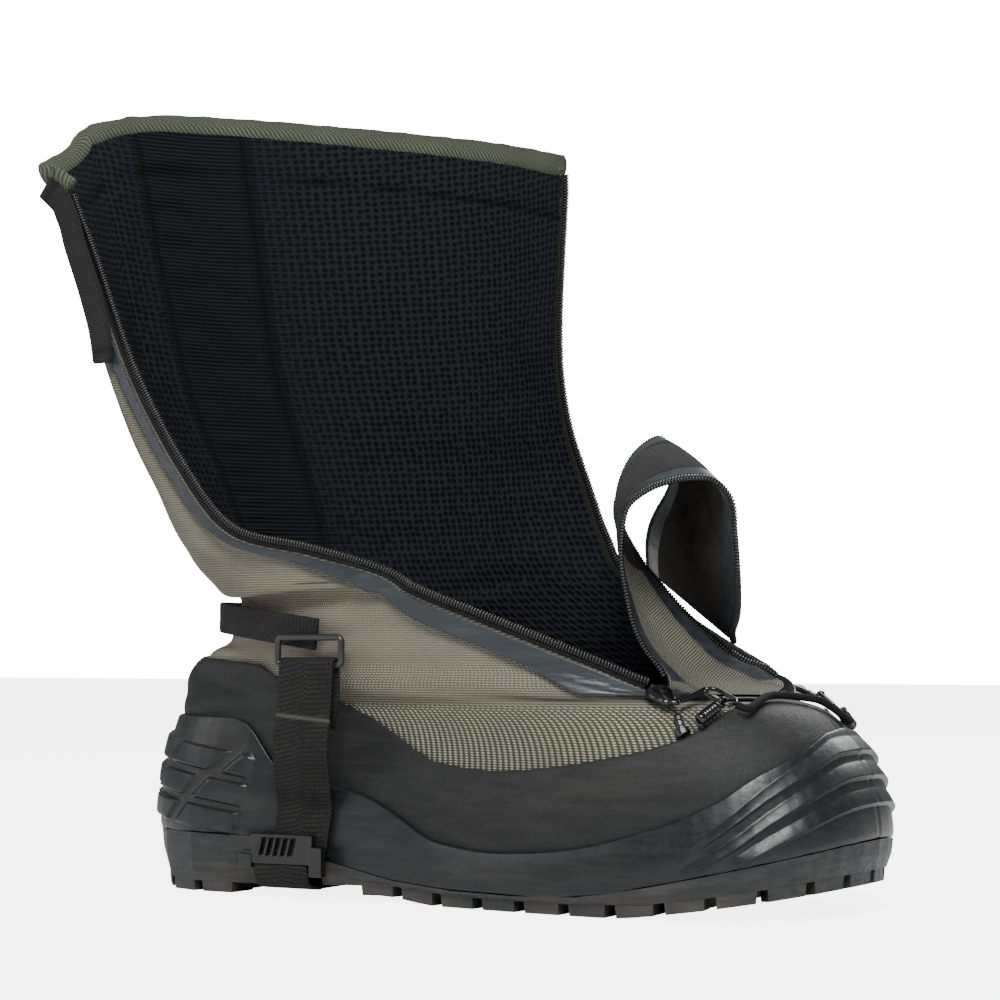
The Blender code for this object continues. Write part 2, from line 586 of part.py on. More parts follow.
def edge_lugs(strap_x, groove):
    """Lugs round the edge of the sole, evenly spaced, none in the strap's groove."""
    total = edge_at(0.0)[2]
    count = round(total / (LUG_LENGTH + LUG_GAP))
    lugs = []
    for k in range(count):
        middle = (k + 0.5) * total / count
        length = total / count - LUG_GAP
        steps = middle + np.array([-0.5, 0.0, 0.5]) * length
        if abs(edge_at(middle)[0][0] - strap_x) < groove + length * 0.55:
            continue
        outer, inner = [], []
        for step in steps:
            outer.append(edge_at(step, TREAD_DRAFT)[0])
            inner.append(edge_at(step, LUG_REACH)[0])
        flat = np.array(outer + inner[::-1])
        centre = flat.mean(0)
        floor = flat + (centre - flat) * 0.06
        tread = sole_heights(floor[:, 0])[0]
        root = sole_heights(flat[:, 0])[0] + LUG_DEPTH + LUG_DEPTH * 0.2
        points = np.concatenate([np.column_stack([floor, tread]), np.column_stack([flat, root])])
        faces = [(0, 1, 4, 5), (1, 2, 3, 4), (6, 7, 10, 11), (7, 8, 9, 10)]
        faces += [(i, (i + 1) % 6, 6 + (i + 1) % 6, 6 + i) for i in range(6)]
        lugs.append(new_object("lug", points, faces, None))
    return lugs


def middle_lugs(strap_x, groove):
    """Bars across the middle of the tread, one of them under the origin."""
    pitch = LUG_LENGTH + 2 * LUG_GAP
    lugs = []
    first = -int((HEEL_SETBACK - LUG_REACH) / pitch)
    last = int((SOLE_LENGTH - HEEL_SETBACK - LUG_REACH - LUG_LENGTH * 1.3) / pitch)
    for k in range(first, last + 1):
        x = k * pitch
        if abs(x - strap_x) < groove + LUG_LENGTH * 0.6:
            continue
        side = [np.abs(np.interp(x, *half)) for half in outline_sides()]
        low = -side[0] + LUG_REACH + LUG_GAP
        high = side[1] - LUG_REACH - LUG_GAP
        if high - low < LUG_LENGTH:
            continue
        x0, x1 = x - LUG_LENGTH * 0.4, x + LUG_LENGTH * 0.4
        z0, z1 = sole_heights(x0)[0], sole_heights(x1)[0]
        root = LUG_DEPTH * 1.2
        lugs.append(block("bar", [(x0, low, z0), (x1, low, z1), (x1, high, z1), (x0, high, z0),
                                  (x0, low, z0 + root), (x1, low, z1 + root),
                                  (x1, high, z1 + root), (x0, high, z0 + root)]))
    return lugs


def outline_sides():
    """Outer and inner side of the sole's outline as rising x against y."""
    outer = half_outline(OUTER_OUTLINE, -1, 60)[::-1]
    inner = half_outline(INNER_OUTLINE, 1, 60)[::-1]
    return (outer[:, 0], outer[:, 1]), (inner[:, 0], inner[:, 1])


def shell_level(column):
    """Level of the upper that the shell's edge reaches at a column."""
    station = np.interp(column, np.arange(COLUMNS + 1), STATIONS)
    return np.interp(station, *np.array(SHELL_TOP).T)


def upper_offset(level, offset):
    """A row of the upper at a level for each column, moved outwards."""
    low = upper_at(np.maximum(level - 0.1, 0.0), np.arange(COLUMNS + 1))
    high = upper_at(level + 0.1, np.arange(COLUMNS + 1))
    here = upper_at(level, np.arange(COLUMNS + 1))
    along = np.gradient(here, axis=0)
    along[0] = along[-1] = here[1] - here[-2]
    normal = np.cross(high - low, along)
    normal /= np.linalg.norm(normal, axis=1, keepdims=True)
    return here + normal * offset


def shell_grid(rows):
    """Outer face of the shell from the outsole to its edge, with a swollen side."""
    edge = upper_offset(shell_level(np.arange(COLUMNS + 1)), RAND_LIFT + SHELL_EDGE)
    ring = np.concatenate([OUTLINE, OUTLINE[:1]])
    out = with_height(np.concatenate([OUTWARD, OUTWARD[:1]]), 0.0)
    bottom = with_height(ring, sole_heights(ring[:, 0])[1] + GAP)
    t = np.linspace(0.0, 1.0, rows)[:, None, None]
    lean = np.linalg.norm(edge[:, :2] - bottom[:, :2], axis=1)[None, :, None]
    swell = SHELL_SWELL * lean * np.sin(np.pi * t) ** 0.8
    return bottom[None] * (1 - t) + edge[None] * t + out[None] * swell


def shell_point(grid, t, column, rise):
    """Point on the shell's outer face, raised from it."""
    normals = grid_normals(grid, closed=True)
    row = np.clip(t, 0.0, 1.0) * (len(grid) - 1)
    column = np.mod(column, COLUMNS)
    r, c = int(min(row, len(grid) - 2)), int(column)
    a, b = row - r, column - c
    mix = [(1 - a) * (1 - b), a * (1 - b), (1 - a) * b, a * b]
    spots = [(r, c), (r + 1, c), (r, c + 1), (r + 1, c + 1)]
    point = sum(m * grid[s] for m, s in zip(mix, spots))
    normal = sum(m * normals[s] for m, s in zip(mix, spots))
    return point + normal / np.linalg.norm(normal) * rise


def make_shell():
    """Moulded shell: side wall, toe cap and heel cup round a floor."""
    outer = shell_grid(7)
    level = shell_level(np.arange(COLUMNS + 1))
    inner = []
    for share in (1.0, 0.6, 0.25, 0.0):
        inner.append(upper_offset(level * share, RAND_LIFT)[:-1])
    floor = inner[-1].copy()
    floor[:, 2] = sole_heights(floor[:, 0])[2]
    rings = [row[:-1] for row in outer] + inner[:-1] + [floor]
    shell = ring_solid("shell", rings, RUBBER)
    boolean(shell, heel_blocks(outer) + toe_ribs(outer), "UNION", "MANIFOLD")
    return shell


def heel_blocks(outer):
    """Three rows of slanted blocks on the heel cup, alike on both sides."""
    half_length = edge_at(0.0)[2] / 2
    blocks = []
    for row, spans in enumerate(HEEL_BLOCK_ROWS):
        for span in spans:
            for side in (-1, 1):
                if span[0] < 0 and side > 0:
                    continue
                blocks.append(heel_block(outer, row, span, side, half_length))
    return blocks


def heel_block(outer, row, span, side, half_length):
    points = []
    for rise in (-HEEL_BLOCK_RISE / 2, HEEL_BLOCK_RISE):
        for edge, drop in ((span[2:], HEEL_BLOCK_HEIGHT), (span[:2], 0.0)):
            for share in np.linspace(edge[0], edge[1], 4):
                reach = share * HEEL_CUP_REACH
                column = column_at(1.0 - abs(reach) / half_length, side * np.sign(reach))
                height = (HEEL_BLOCK_TOP - row * HEEL_BLOCK_PITCH - drop
                          - HEEL_BLOCK_SLOPE * abs(reach))
                foot = shell_point(outer, 0.0, column, 0.0)[2]
                edge_height = shell_point(outer, 1.0, column, 0.0)[2]
                points.append(shell_point(outer, (height - foot) / (edge_height - foot), column, rise))
    return lofted_strip("block", points, 4)


def lofted_strip(name, points, count):
    """A raised strip: sunk lower and upper rows, then raised lower and upper rows."""
    a, b, c, d = (range(k * count, (k + 1) * count) for k in range(4))
    faces = []
    for low, high in ((a, b), (c, d), (a, c), (b, d)):
        faces += [(low[i], low[i + 1], high[i + 1], high[i]) for i in range(count - 1)]
    faces += [(a[0], b[0], d[0], c[0]), (a[-1], b[-1], d[-1], c[-1])]
    return new_object(name, points, faces, None)


def toe_ribs(outer):
    """Curved ribs round the toe cap, alike on both sides of its middle."""
    height = np.linalg.norm(outer[-1, 0] - outer[0, 0])
    ribs = []
    for rib in TOE_RIBS:
        mirrored = rib + [(-s, h) for s, h in rib[:-1][::-1]]
        path = smooth(mirrored_keys(mirrored), np.linspace(0, 1, 17))
        points = []
        for rise, spread in ((-TOE_RIB_RISE, -0.5), (-TOE_RIB_RISE, 0.5),
                             (TOE_RIB_RISE, -0.36), (TOE_RIB_RISE, 0.0)):
            for station, share in path:
                t = share + spread * TOE_RIB_WIDTH / height
                points.append(shell_point(outer, t, column_at(abs(station), np.sign(station)), rise))
        ribs.append(lofted_strip("rib", points, len(path)))
    return ribs


def mirrored_keys(rows):
    return np.column_stack([np.linspace(0, 1, len(rows)), np.array(rows)])


def upper_grid(levels):
    """Rows of the upper's outer face with their normals, and how many rows are closed."""
    levels = np.array(levels)
    columns = np.arange(COLUMNS + 1)
    grid = upper_at(levels[:, None] + 0 * columns[None], 0 * levels[:, None] + columns[None])
    closed_rows = int((levels <= CROTCH_LEVEL).sum())
    normals = grid_normals(grid)
    wrapped = grid_normals(grid, closed=True)
    normals[:closed_rows - 1] = wrapped[:closed_rows - 1]
    seam = normals[closed_rows - 1, 0] + normals[closed_rows - 1, -1]
    normals[closed_rows - 1, 0] = normals[closed_rows - 1, -1] = seam / np.linalg.norm(seam)
    for _ in range(2):
        near = np.pad(normals, ((1, 1), (1, 1), (0, 0)), mode="edge")
        blend = near[:-2, 1:-1] + near[2:, 1:-1] + near[1:-1, :-2] + near[1:-1, 2:] + 2 * normals
        blend[:closed_rows, 0] = blend[:closed_rows, -1] = blend[:closed_rows, 0] + blend[:closed_rows, -1]
        normals = blend / np.linalg.norm(blend, axis=2, keepdims=True)
    return grid, normals, closed_rows


def make_upper():
    outer, normals, closed_rows = upper_grid(FOOT_LEVELS + SHAFT_LEVELS)
    return wall_solid("upper", outer, outer - normals * UPPER_WALL, closed_rows, OLIVE)


def make_insole():
    ring = upper_offset(np.full(COLUMNS + 1, 0.05), -UPPER_WALL - CLEAR)[:-1]
    bed = sole_heights(ring[:, 0])[2]
    return ring_solid("insole", [with_height(ring, bed + GAP),
                                 with_height(ring, bed + GAP + INSOLE_WALL)], LINING)


def make_rand():
    """Rubberised rand, toe and heel counter: a wall over the upper, cut to its side view."""
    grid, normals, closed_rows = upper_grid([0.12] + FOOT_LEVELS[1:] + SHAFT_LEVELS)
    grid, normals = grid[:len(FOOT_LEVELS)], normals[:len(FOOT_LEVELS)]
    outer = grid + normals * (CLEAR + GAP + RAND_WALL)
    rand = wall_solid("rand", outer, grid + normals * (CLEAR + GAP), closed_rows, MATTE_BLACK)
    edge = table_outline(RAND_EDGE)
    high = level_height(2.0)
    front, back = edge[0][0], station_x(-0.2)
    profile = [(front + (high - edge[0][1]) * 0.1, high)] + edge + [(back, edge[-1][1]), (back, high)]
    points = [(x, y, z) for y in (-BALL_WIDTH, BALL_WIDTH) for x, z in profile]
    count = len(profile)
    faces = [tuple(range(count)), tuple(range(count, 2 * count))]
    faces += [(i, (i + 1) % count, count + (i + 1) % count, count + i) for i in range(count)]
    boolean(rand, [new_object("above", points, faces, None)], "DIFFERENCE", "MANIFOLD")
    return rand


def table_outline(rows):
    """World x and z of a side view's points."""
    rows = np.array(rows, float)
    return list(zip(station_x(rows[:, 0]), level_height(rows[:, 1])))


def surface_tree():
    """Search tree of the upper's outer face."""
    grid, _, _ = upper_grid(FOOT_LEVELS + SHAFT_LEVELS)
    rows, count = grid.shape[:2]
    ids = np.arange(rows * count).reshape(rows, count)
    faces = []
    for r in range(rows - 1):
        for c in range(count - 1):
            faces.append((ids[r, c], ids[r + 1, c], ids[r + 1, c + 1]))
            faces.append((ids[r, c], ids[r + 1, c + 1], ids[r, c + 1]))
    return BVHTree.FromPolygons([tuple(p) for p in grid.reshape(-1, 3)],
                                [tuple(map(int, face)) for face in faces])


def conform(tree, points, lift):
    """Points laid on the upper's outer face and lifted from it."""
    laid, normals = [], []
    for point in points:
        spot, normal, _, _ = tree.find_nearest(Vector(point))
        laid.append(spot + normal * lift)
        normals.append(normal)
    return np.array(laid), np.array(normals)


def wall_distance(tree, side, x, z):
    """How far the upper's outer face stands from the middle plane at a height."""
    hit = tree.ray_cast(Vector((x, side * BALL_WIDTH, z)), Vector((0.0, -side, 0.0)))
    return abs(hit[0].y)


def shaft_edge(side, start, end, count):
    """Points, inward directions and face normals along one of the shaft's zip edges."""
    levels = np.array([start] + [k for k in FOOT_LEVELS + SHAFT_LEVELS if start < k < end] + [end])
    column = 0.0 if side < 0 else float(COLUMNS)
    step = 0.5 if side < 0 else -0.5
    edge = upper_at(levels, np.full(len(levels), column))
    inner = upper_at(levels, np.full(len(levels), column + step))
    edge, inner = even_pair(edge, inner, count)
    tangent = np.gradient(edge, axis=0)
    tangent /= np.linalg.norm(tangent, axis=1, keepdims=True)
    inward = inner - edge
    inward -= (inward * tangent).sum(1, keepdims=True) * tangent
    inward /= np.linalg.norm(inward, axis=1, keepdims=True)
    return edge, inward, np.cross(inward, tangent) * side


def even_pair(first, second, count):
    steps = np.linalg.norm(np.diff(first, axis=0), axis=1)
    run = np.concatenate([[0.0], np.cumsum(steps)])
    at = np.linspace(0.0, run[-1], count)
    pair = [np.stack([np.interp(at, run, line[:, k]) for k in range(3)], 1) for line in (first, second)]
    return pair


def make_binding():
    """Rolled binding on the collar's edge."""
    columns = np.arange(COLUMNS + 1)
    top = len(SECTIONS) - 1.0
    row = upper_at(np.full(COLUMNS + 1, top), columns)
    below = upper_at(np.full(COLUMNS + 1, top - 0.3), columns)
    along = np.gradient(row, axis=0)
    along /= np.linalg.norm(along, axis=1, keepdims=True)
    rise = row - below
    rise -= (rise * along).sum(1, keepdims=True) * along
    rise /= np.linalg.norm(rise, axis=1, keepdims=True)
    path = row + rise * (BINDING_HEIGHT / 2 + CLEAR) - np.cross(rise, along) * UPPER_WALL / 2
    return sweep("collar_binding", path, rise, round_profile(BINDING_HEIGHT, BINDING_WALL, 6), OLIVE)


def table_points(rows):
    rows = np.array(rows, float)
    return np.stack([station_x(rows[:, 0]), rows[:, 1] * BALL_WIDTH / 2, level_height(rows[:, 2])], 1)


def make_tab(tree):
    """Folded strip that hangs from the collar's outer end over the zip tape."""
    path = smooth_path(table_points(TAB_PATH), 8)
    laid, normals = conform(tree, path, 4 * CLEAR + TAPE_WALL + TAB_WALL / 2)
    sides = np.cross(normals, np.gradient(laid, axis=0))
    return sweep("collar_tab", laid, sides, flat_profile(TAB_WIDTH, TAB_WALL), OLIVE)


def make_shaft_tape(name, side):
    """Coated zip tape sewn along the outside of a shaft edge, row by row with the upper."""
    grid, normals, closed_rows = upper_grid(FOOT_LEVELS + SHAFT_LEVELS)
    if side > 0:
        grid, normals = grid[:, ::-1], normals[:, ::-1]
    lines, directions = grid[closed_rows + 1:-1], normals[closed_rows + 1:-1]
    steps = np.linalg.norm(np.diff(lines[:, 0], axis=0), axis=1)
    along = np.concatenate([[0.0], np.cumsum(steps)])
    width = np.interp(along / along[-1], *np.array(TAPE_SHOWN).T) * TAPE_WIDTH
    sheets = []
    for lift in (2 * CLEAR + TAPE_WALL, 2 * CLEAR):
        sheet = []
        for share in (0.0, 0.25, 0.5, 0.75, 1.0):
            sheet.append([beside(line, CLEAR + w * share) + beside(line, CLEAR + w * share, face) * lift
                          for line, face, w in zip(lines, directions, width)])
        sheets.append(np.array(sheet[::-side]))
    return wall_solid(name, sheets[0], sheets[1], 0, SLATE)


def beside(line, distance, values=None):
    """The point a distance along a polyline, or another row's value there."""
    run = np.concatenate([[0.0], np.cumsum(np.linalg.norm(np.diff(line, axis=0), axis=1))])
    values = line if values is None else values
    return np.array([np.interp(distance, run, values[:, k]) for k in range(3)])


def make_shaft_coil(name, side):
    """Zip coil along a shaft edge."""
    edge, inward, normal = shaft_edge(side, 6.3, 15.95, 28)
    path = edge - inward * (COIL_WIDTH / 2 + 2 * CLEAR) - normal * UPPER_WALL / 2
    return sweep(name, path, inward, round_profile(COIL_WIDTH, COIL_WALL, 4), MATTE_BLACK)


def tongue_grid(rows):
    """Middle face of the tongue: a root line on the vamp, then edge to edge."""
    table = np.array(TONGUE_ROWS, float)
    outer_edge = table_points(table[:, 0:3])
    inner_edge = table_points(table[:, 3:6])
    across = np.linspace(0.0, 1.0, TONGUE_COLUMNS)[None, :, None]
    grid = outer_edge[:, None] * (1 - across) + inner_edge[:, None] * across
    normal = grid_normals(grid)
    width = np.linalg.norm(inner_edge - outer_edge, axis=1)[:, None, None]
    grid = grid + normal * width * table[:, 6, None, None] * np.sin(np.pi * across)
    root_levels = CROTCH_LEVEL + np.array([0.98, 0.6, 0.25, 0.0, 0.25, 0.6, 0.98])
    root_columns = np.array([0, 0, 0, 0, COLUMNS, COLUMNS, COLUMNS])
    root = upper_at(root_levels, root_columns) + np.array([-1.2, 0.0, 1.9]) * TONGUE_WALL / 2
    grid = np.concatenate([root[None], grid])
    keys = np.concatenate([[0.0], np.cumsum(np.linalg.norm(np.diff(grid.mean(1), axis=0), axis=1))])
    flat = grid.reshape(len(grid), -1)
    dense = smooth(np.column_stack([keys, flat]), np.linspace(0.0, keys[-1], rows))
    return dense.reshape(rows, TONGUE_COLUMNS, 3)


def make_tongue():
    grid = tongue_grid(24)
    normal = grid_normals(grid)
    return wall_solid("tongue", grid + normal * TONGUE_WALL / 2, grid - normal * TONGUE_WALL / 2, 0, OLIVE)


def make_tongue_coil(name, side):
    """Zip coil along one edge of the tongue."""
    grid = tongue_grid(30)[2:]
    normal = grid_normals(grid)
    edge = grid[:, 0] if side < 0 else grid[:, -1]
    next_in = grid[:, 1] if side < 0 else grid[:, -2]
    face = normal[:, 0] if side < 0 else normal[:, -1]
    tangent = np.gradient(edge, axis=0)
    tangent /= np.linalg.norm(tangent, axis=1, keepdims=True)
    inward = next_in - edge
    inward -= (inward * tangent).sum(1, keepdims=True) * tangent
    inward -= (inward * face).sum(1, keepdims=True) * face
    inward /= np.linalg.norm(inward, axis=1, keepdims=True)
    path = edge - inward * (COIL_WIDTH / 2 + GAP)
    return sweep(name, path, inward, round_profile(COIL_WIDTH, COIL_WALL, 4), MATTE_BLACK)


def make_ankle_strap(tree):
    """Webbing round the back of the ankle, from ring to ring, clear of the upper over its width."""
    path = []
    for turn in np.radians(np.linspace(-96.0, 96.0, 21)):
        out = Vector((-np.cos(turn), np.sin(turn), 0.0))
        middle = level_height(ANKLE_STRAP_LEVEL) - ANKLE_STRAP_WIDTH * (1 - np.cos(turn)) * 0.55
        reach = 0.0
        for rise in np.linspace(-0.5, 0.5, 5) * ANKLE_STRAP_WIDTH:
            centre = Vector((RING_X - 0.004, 0.0, middle + rise))
            hit = tree.ray_cast(centre + out * BALL_WIDTH * 2, -out)
            reach = max(reach, (hit[0] - centre).length)
        path.append(Vector((RING_X - 0.004, 0.0, middle)) + out * (reach + RAND_LIFT + STRAP_WALL / 2))
    sides = np.tile((0.0, 0.0, 1.0), (len(path), 1))
    return sweep("ankle_strap", path, sides, flat_profile(ANKLE_STRAP_WIDTH, STRAP_WALL), WEBBING)


def strap_places(tree, side):
    """Height and distance out of the ring, and distance out of the sole at the strap."""
    top = level_height(RING_LEVEL)
    wall = max(wall_distance(tree, side, RING_X + step, top - drop)
               for step in (-0.014, 0.0, 0.014) for drop in (0.0, 0.012, 0.024, 0.036))
    ring = wall + RAND_LIFT + STRAP_WALL + GAP + RING_WIRE / 2
    sole = abs(np.interp(STRAP_X, *outline_sides()[0 if side < 0 else 1]))
    return top, ring, sole


def make_ring(name, tree, side):
    """Rectangular wire ring that joins the ankle strap to the side strap."""
    top, across, _ = strap_places(tree, side)
    corner = RING_WIRE * 0.7
    half = STRAP_WIDTH / 2 + GAP + corner
    path = []
    for cx, cz, start in ((1, 1, 0), (-1, 1, 90), (-1, -1, 180), (1, -1, 270)):
        for angle in np.radians(start + np.array([0.0, 45.0, 90.0])):
            path.append((RING_X + cx * (half - corner) + corner * np.cos(angle), side * across,
                         top - RING_HEIGHT / 2 + cz * (RING_HEIGHT / 2 - corner) + corner * np.sin(angle)))
    sides = np.tile((0.0, 1.0, 0.0), (len(path), 1))
    return sweep(name, path, sides, round_profile(RING_WIRE, RING_WIRE, 6), WIRE, closed=True)


def make_side_strap(name, tree, side):
    """Webbing folded over the ring's lower bar and led down to the buckle."""
    top, across, sole = strap_places(tree, side)
    bar = top - RING_HEIGHT
    bend = RING_WIRE / 2 + GAP + STRAP_WALL / 2
    outside = sole + STRAP_STANDOFF + STRAP_WALL / 2
    turn = np.radians(np.linspace(180.0, 0.0, 7))
    path = [(RING_X - 0.002, across - bend, bar - 0.026), (RING_X, across - bend, bar - 0.012)]
    path += [(RING_X, across + bend * np.cos(a), bar + bend * np.sin(a)) for a in turn]
    low = BUCKLE_TOP - BUCKLE_HEIGHT * 0.6
    fall = [(RING_X, across + bend, bar - 0.002), (RING_X - 0.001, across + bend, bar - 0.018),
            (RING_X - 0.003, across + bend * 0.8, bar - 0.036),
            (RING_X - 0.007, (across + outside) / 2, (bar + low) / 2 - 0.012),
            (RING_X - RING_LEAN * 0.5, outside, BUCKLE_TOP + 0.010),
            (RING_X - RING_LEAN * 0.55, outside, BUCKLE_TOP + 0.003),
            (RING_X - RING_LEAN * 0.65, outside, low)]
    path = np.concatenate([path, smooth_path(fall, 13)]) * (1, side, 1)
    sides = np.tile((1.0, 0.0, 0.0), (len(path), 1))
    return sweep(name, path, sides, flat_profile(STRAP_WIDTH, STRAP_WALL), WEBBING)


def make_buckle(name, tree, side):
    """Plate with a prong and lugs that joins the side strap to the strap under the sole."""
    _, _, sole = strap_places(tree, side)
    near = sole + STRAP_STANDOFF + STRAP_WALL + GAP
    far = near + BUCKLE_WALL
    left, right = STRAP_X - STRAP_WIDTH / 2 - 0.001, STRAP_X + STRAP_WIDTH / 2 + 0.003
    foot, top = BUCKLE_TOP - BUCKLE_HEIGHT, BUCKLE_TOP
    spans = [((left, near, foot), (right, far - 0.0010, top)),
             ((right - 0.001, near + 0.0005, foot - 0.005), (right + 0.0055, far, top - 0.005)),
             ((left - BUCKLE_PRONG, near + 0.001, top - 0.008), (left + 0.001, far - 0.0015, top - 0.001)),
             ((left - 0.006, near + 0.001, foot - 0.002), (left + 0.0005, far - 0.0005, foot + 0.004)),
             ((left + 0.004, far - 0.0015, foot + 0.004), (right - 0.012, far + 0.0015, top - 0.002))]
    pieces = []
    for low, high in spans:
        y = sorted((side * low[1], side * high[1]))
        pieces.append(box(name, (low[0], y[0], low[2]), (high[0], y[1], high[2])))
    set_material(pieces[0], *GLOSS_BLACK)
    for piece in pieces[1:]:
        boolean(pieces[0], [piece], "UNION")
    return pieces[0]


def make_underfoot_strap(tree):
    """Webbing through the groove under the sole, from buckle to buckle."""
    path = []
    foot = BUCKLE_TOP - BUCKLE_HEIGHT - GAP
    for side in (-1, 1):
        _, _, sole = strap_places(tree, side)
        y = sole + STRAP_STANDOFF + STRAP_WALL + GAP + BUCKLE_WALL / 2
        half = [(STRAP_X, side * y, foot), (STRAP_X, side * y, foot - 0.003),
                (STRAP_X, side * (y - 0.002), foot - 0.008), (STRAP_X, side * (y - 0.008), UNDERFOOT_HEIGHT),
                (STRAP_X, side * (y - 0.016), UNDERFOOT_HEIGHT)]
        path += half if side < 0 else half[::-1]
    path = smooth_path(path, 24)
    sides = np.tile((1.0, 0.0, 0.0), (len(path), 1))
    return sweep("underfoot_strap", path, sides, flat_profile(STRAP_WIDTH, STRAP_WALL), WEBBING)


def surface_frame(tree, start, end, lift):
    """Place on the upper's outer face with directions along, across and away from it."""
    start, end = (table_points([row])[0] for row in (start, end))
    spot, normal, _, _ = tree.find_nearest(Vector(start))
    spot, normal = np.array(spot), np.array(normal)
    along = end - start
    along -= normal * along.dot(normal)
    along /= np.linalg.norm(along)
    return spot + normal * lift, along, np.cross(normal, along), normal


def placed(frame, points):
    """Points given along, across and away, put in their frame."""
    spot, along, across, away = frame
    points = np.array(points, float)
    return spot + points[:, :1] * along + points[:, 1:2] * across + points[:, 2:] * away


def make_slider(name, tree, side):
    """Zip slider: a domed plate that narrows towards its neck."""
    start, end, lift = ZIP_FITTINGS[side]["slider"]
    frame = surface_frame(tree, start, end, lift)
    plan = np.array(SLIDER_PLAN) * (SLIDER_LENGTH, SLIDER_WIDTH)
    ring = np.concatenate([plan, plan[-2:0:-1] * (1, -1)])
    rings = [placed(frame, with_height(ring * size, height * SLIDER_WALL))
             for size, height in ((1.0, 0.0), (1.0, 0.55), (0.7, 1.0))]
    return ring_solid(name, rings, GLOSS_BLACK)


def make_zip_end(name, tree, side):
    """Closed zip below the slider, with the block at its foot."""
    start, end, lift = ZIP_FITTINGS[side]["foot"]
    ends = table_points([start, end])
    share = np.array([0.0, 0.25, 0.5, 0.68, 0.74, 1.0])[:, None]
    laid, normals = conform(tree, ends[0] * (1 - share) + ends[1] * share, lift + COIL_WALL / 2)
    sides = np.cross(normals, np.gradient(laid, axis=0))
    scale = np.array([1.0, 1.0, 1.0, 1.0, 1.5, 1.5])
    return sweep(name, laid, sides, flat_profile(COIL_WIDTH, COIL_WALL), GLOSS_BLACK, scale=scale)


def link_frame(tree, side):
    start, end, lift = ZIP_FITTINGS[side]["link"]
    return surface_frame(tree, start, end, lift)


def make_link(name, tree, side):
    """Oval wire link on the slider, for the pull tab and the cord."""
    turn = np.radians(np.linspace(-90.0, 90.0, 6))
    bend = np.stack([(LINK_LENGTH - LINK_WIDTH) / 2 + np.cos(turn) * LINK_WIDTH / 2,
                     np.sin(turn) * LINK_WIDTH / 2, 0 * turn], 1)
    oval = np.concatenate([bend, bend * (-1, -1, 1)])
    frame = link_frame(tree, side)
    sides = np.tile(frame[3], (len(oval), 1))
    return sweep(name, placed(frame, oval), sides, round_profile(LINK_WIRE, LINK_WIRE, 5), GLOSS_BLACK,
                 closed=True)


def make_pull_tab(name, tree, side):
    """Round pull tab whose eye turns on the side of the link."""
    spot, along, across, away = link_frame(tree, side)
    out = across * np.sign(across[1]) * side
    hinge = spot + out * LINK_WIDTH / 2 + along * LINK_LENGTH * TAB_PLACE
    eye = LINK_WIRE / 2 + GAP + LINK_WIRE / 2
    far, normals = conform(tree, [hinge + out * PULL_TAB_LENGTH], PULL_TAB_WIDTH / 2 + ZIP_FITTINGS[side]["rest"])
    down = far[0] - hinge
    down -= along * down.dot(along)
    down /= np.linalg.norm(down)
    turn = np.linspace(0.0, 2 * np.pi, 9)[:-1]
    up = np.cross(along, down)
    ring = [(down * np.cos(a) + up * np.sin(a)) * eye for a in turn]
    tab = sweep(name, ring, np.tile(along, (len(ring), 1)), round_profile(LINK_WIRE, LINK_WIRE, 4),
                GLOSS_BLACK, closed=True)
    body = [down * (eye + d) for d in (0.0, 0.0012, PULL_TAB_LENGTH - 0.001, PULL_TAB_LENGTH)]
    rod = sweep("rod", body, np.tile(along, (4, 1)), round_profile(PULL_TAB_WIDTH, PULL_TAB_WIDTH, 8), None,
                scale=np.array([0.55, 1.0, 1.0, 0.7]))
    for obj in (tab, rod):
        obj.location = Vector(hinge)
    rod.hide_render = True
    rod.display_type = "WIRE"
    modifier = tab.modifiers.new("Union", "BOOLEAN")
    modifier.operation = "UNION"
    modifier.solver = "EXACT"
    modifier.object = rod
    return tab


def make_pull_cord(tree):
    """Cord across the vamp from the outer link to the inner."""
    laid, _ = conform(tree, table_points(CORD_PATH), RAND_LIFT + CORD_DIAMETER / 2 + CLEAR)
    ends = []
    for side in (-1, 1):
        spot, along, _, _ = link_frame(tree, side)
        ends.append(spot + along * (LINK_LENGTH / 2 + LINK_WIRE / 2 + CLEAR))
        ends.append(spot + along * (LINK_LENGTH / 2 + LINK_WIRE / 2 + CLEAR + CORD_DIAMETER))
    path = smooth_path(np.concatenate([ends[:2], laid, ends[:1:-1]]), CORD_POINTS)
    curve = bpy.data.curves.new("pull_cord", "CURVE")
    curve.dimensions = "3D"
    curve.bevel_depth = CORD_DIAMETER / 2
    curve.bevel_resolution = 2
    curve.use_fill_caps = True
    line = curve.splines.new("POLY")
    line.points.add(len(path) - 1)
    for point, place in zip(line.points, path):
        point.co = (*place, 1.0)
    cord = bpy.data.objects.new("pull_cord", curve)
    bpy.context.scene.collection.objects.link(cord)
    set_material(cord, *MATTE_BLACK)
    return cord


def main():
    clear_scene()
    make_outsole()
    make_shell()
    make_insole()
    make_upper()
    make_rand()
    make_binding()
    tree = surface_tree()
    make_tab(tree)
    for side, label in ((-1, "outer"), (1, "inner")):
        make_shaft_tape("zip_tape_" + label, side)
        make_shaft_coil("zip_coil_shaft_" + label, side)
        make_tongue_coil("zip_coil_tongue_" + label, side)
        make_slider("zip_slider_" + label, tree, side)
        make_zip_end("zip_end_" + label, tree, side)
        make_link("zip_link_" + label, tree, side)
        make_pull_tab("pull_tab_" + label, tree, side)
        make_ring("strap_ring_" + label, tree, side)
        make_side_strap("side_strap_" + label, tree, side)
        make_buckle("buckle_" + label, tree, side)
    make_tongue()
    make_pull_cord(tree)
    make_ankle_strap(tree)
    make_underfoot_strap(tree)


main()
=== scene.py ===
import bpy
import numpy as np
from mathutils import Matrix, Vector
from mathutils.bvhtree import BVHTree


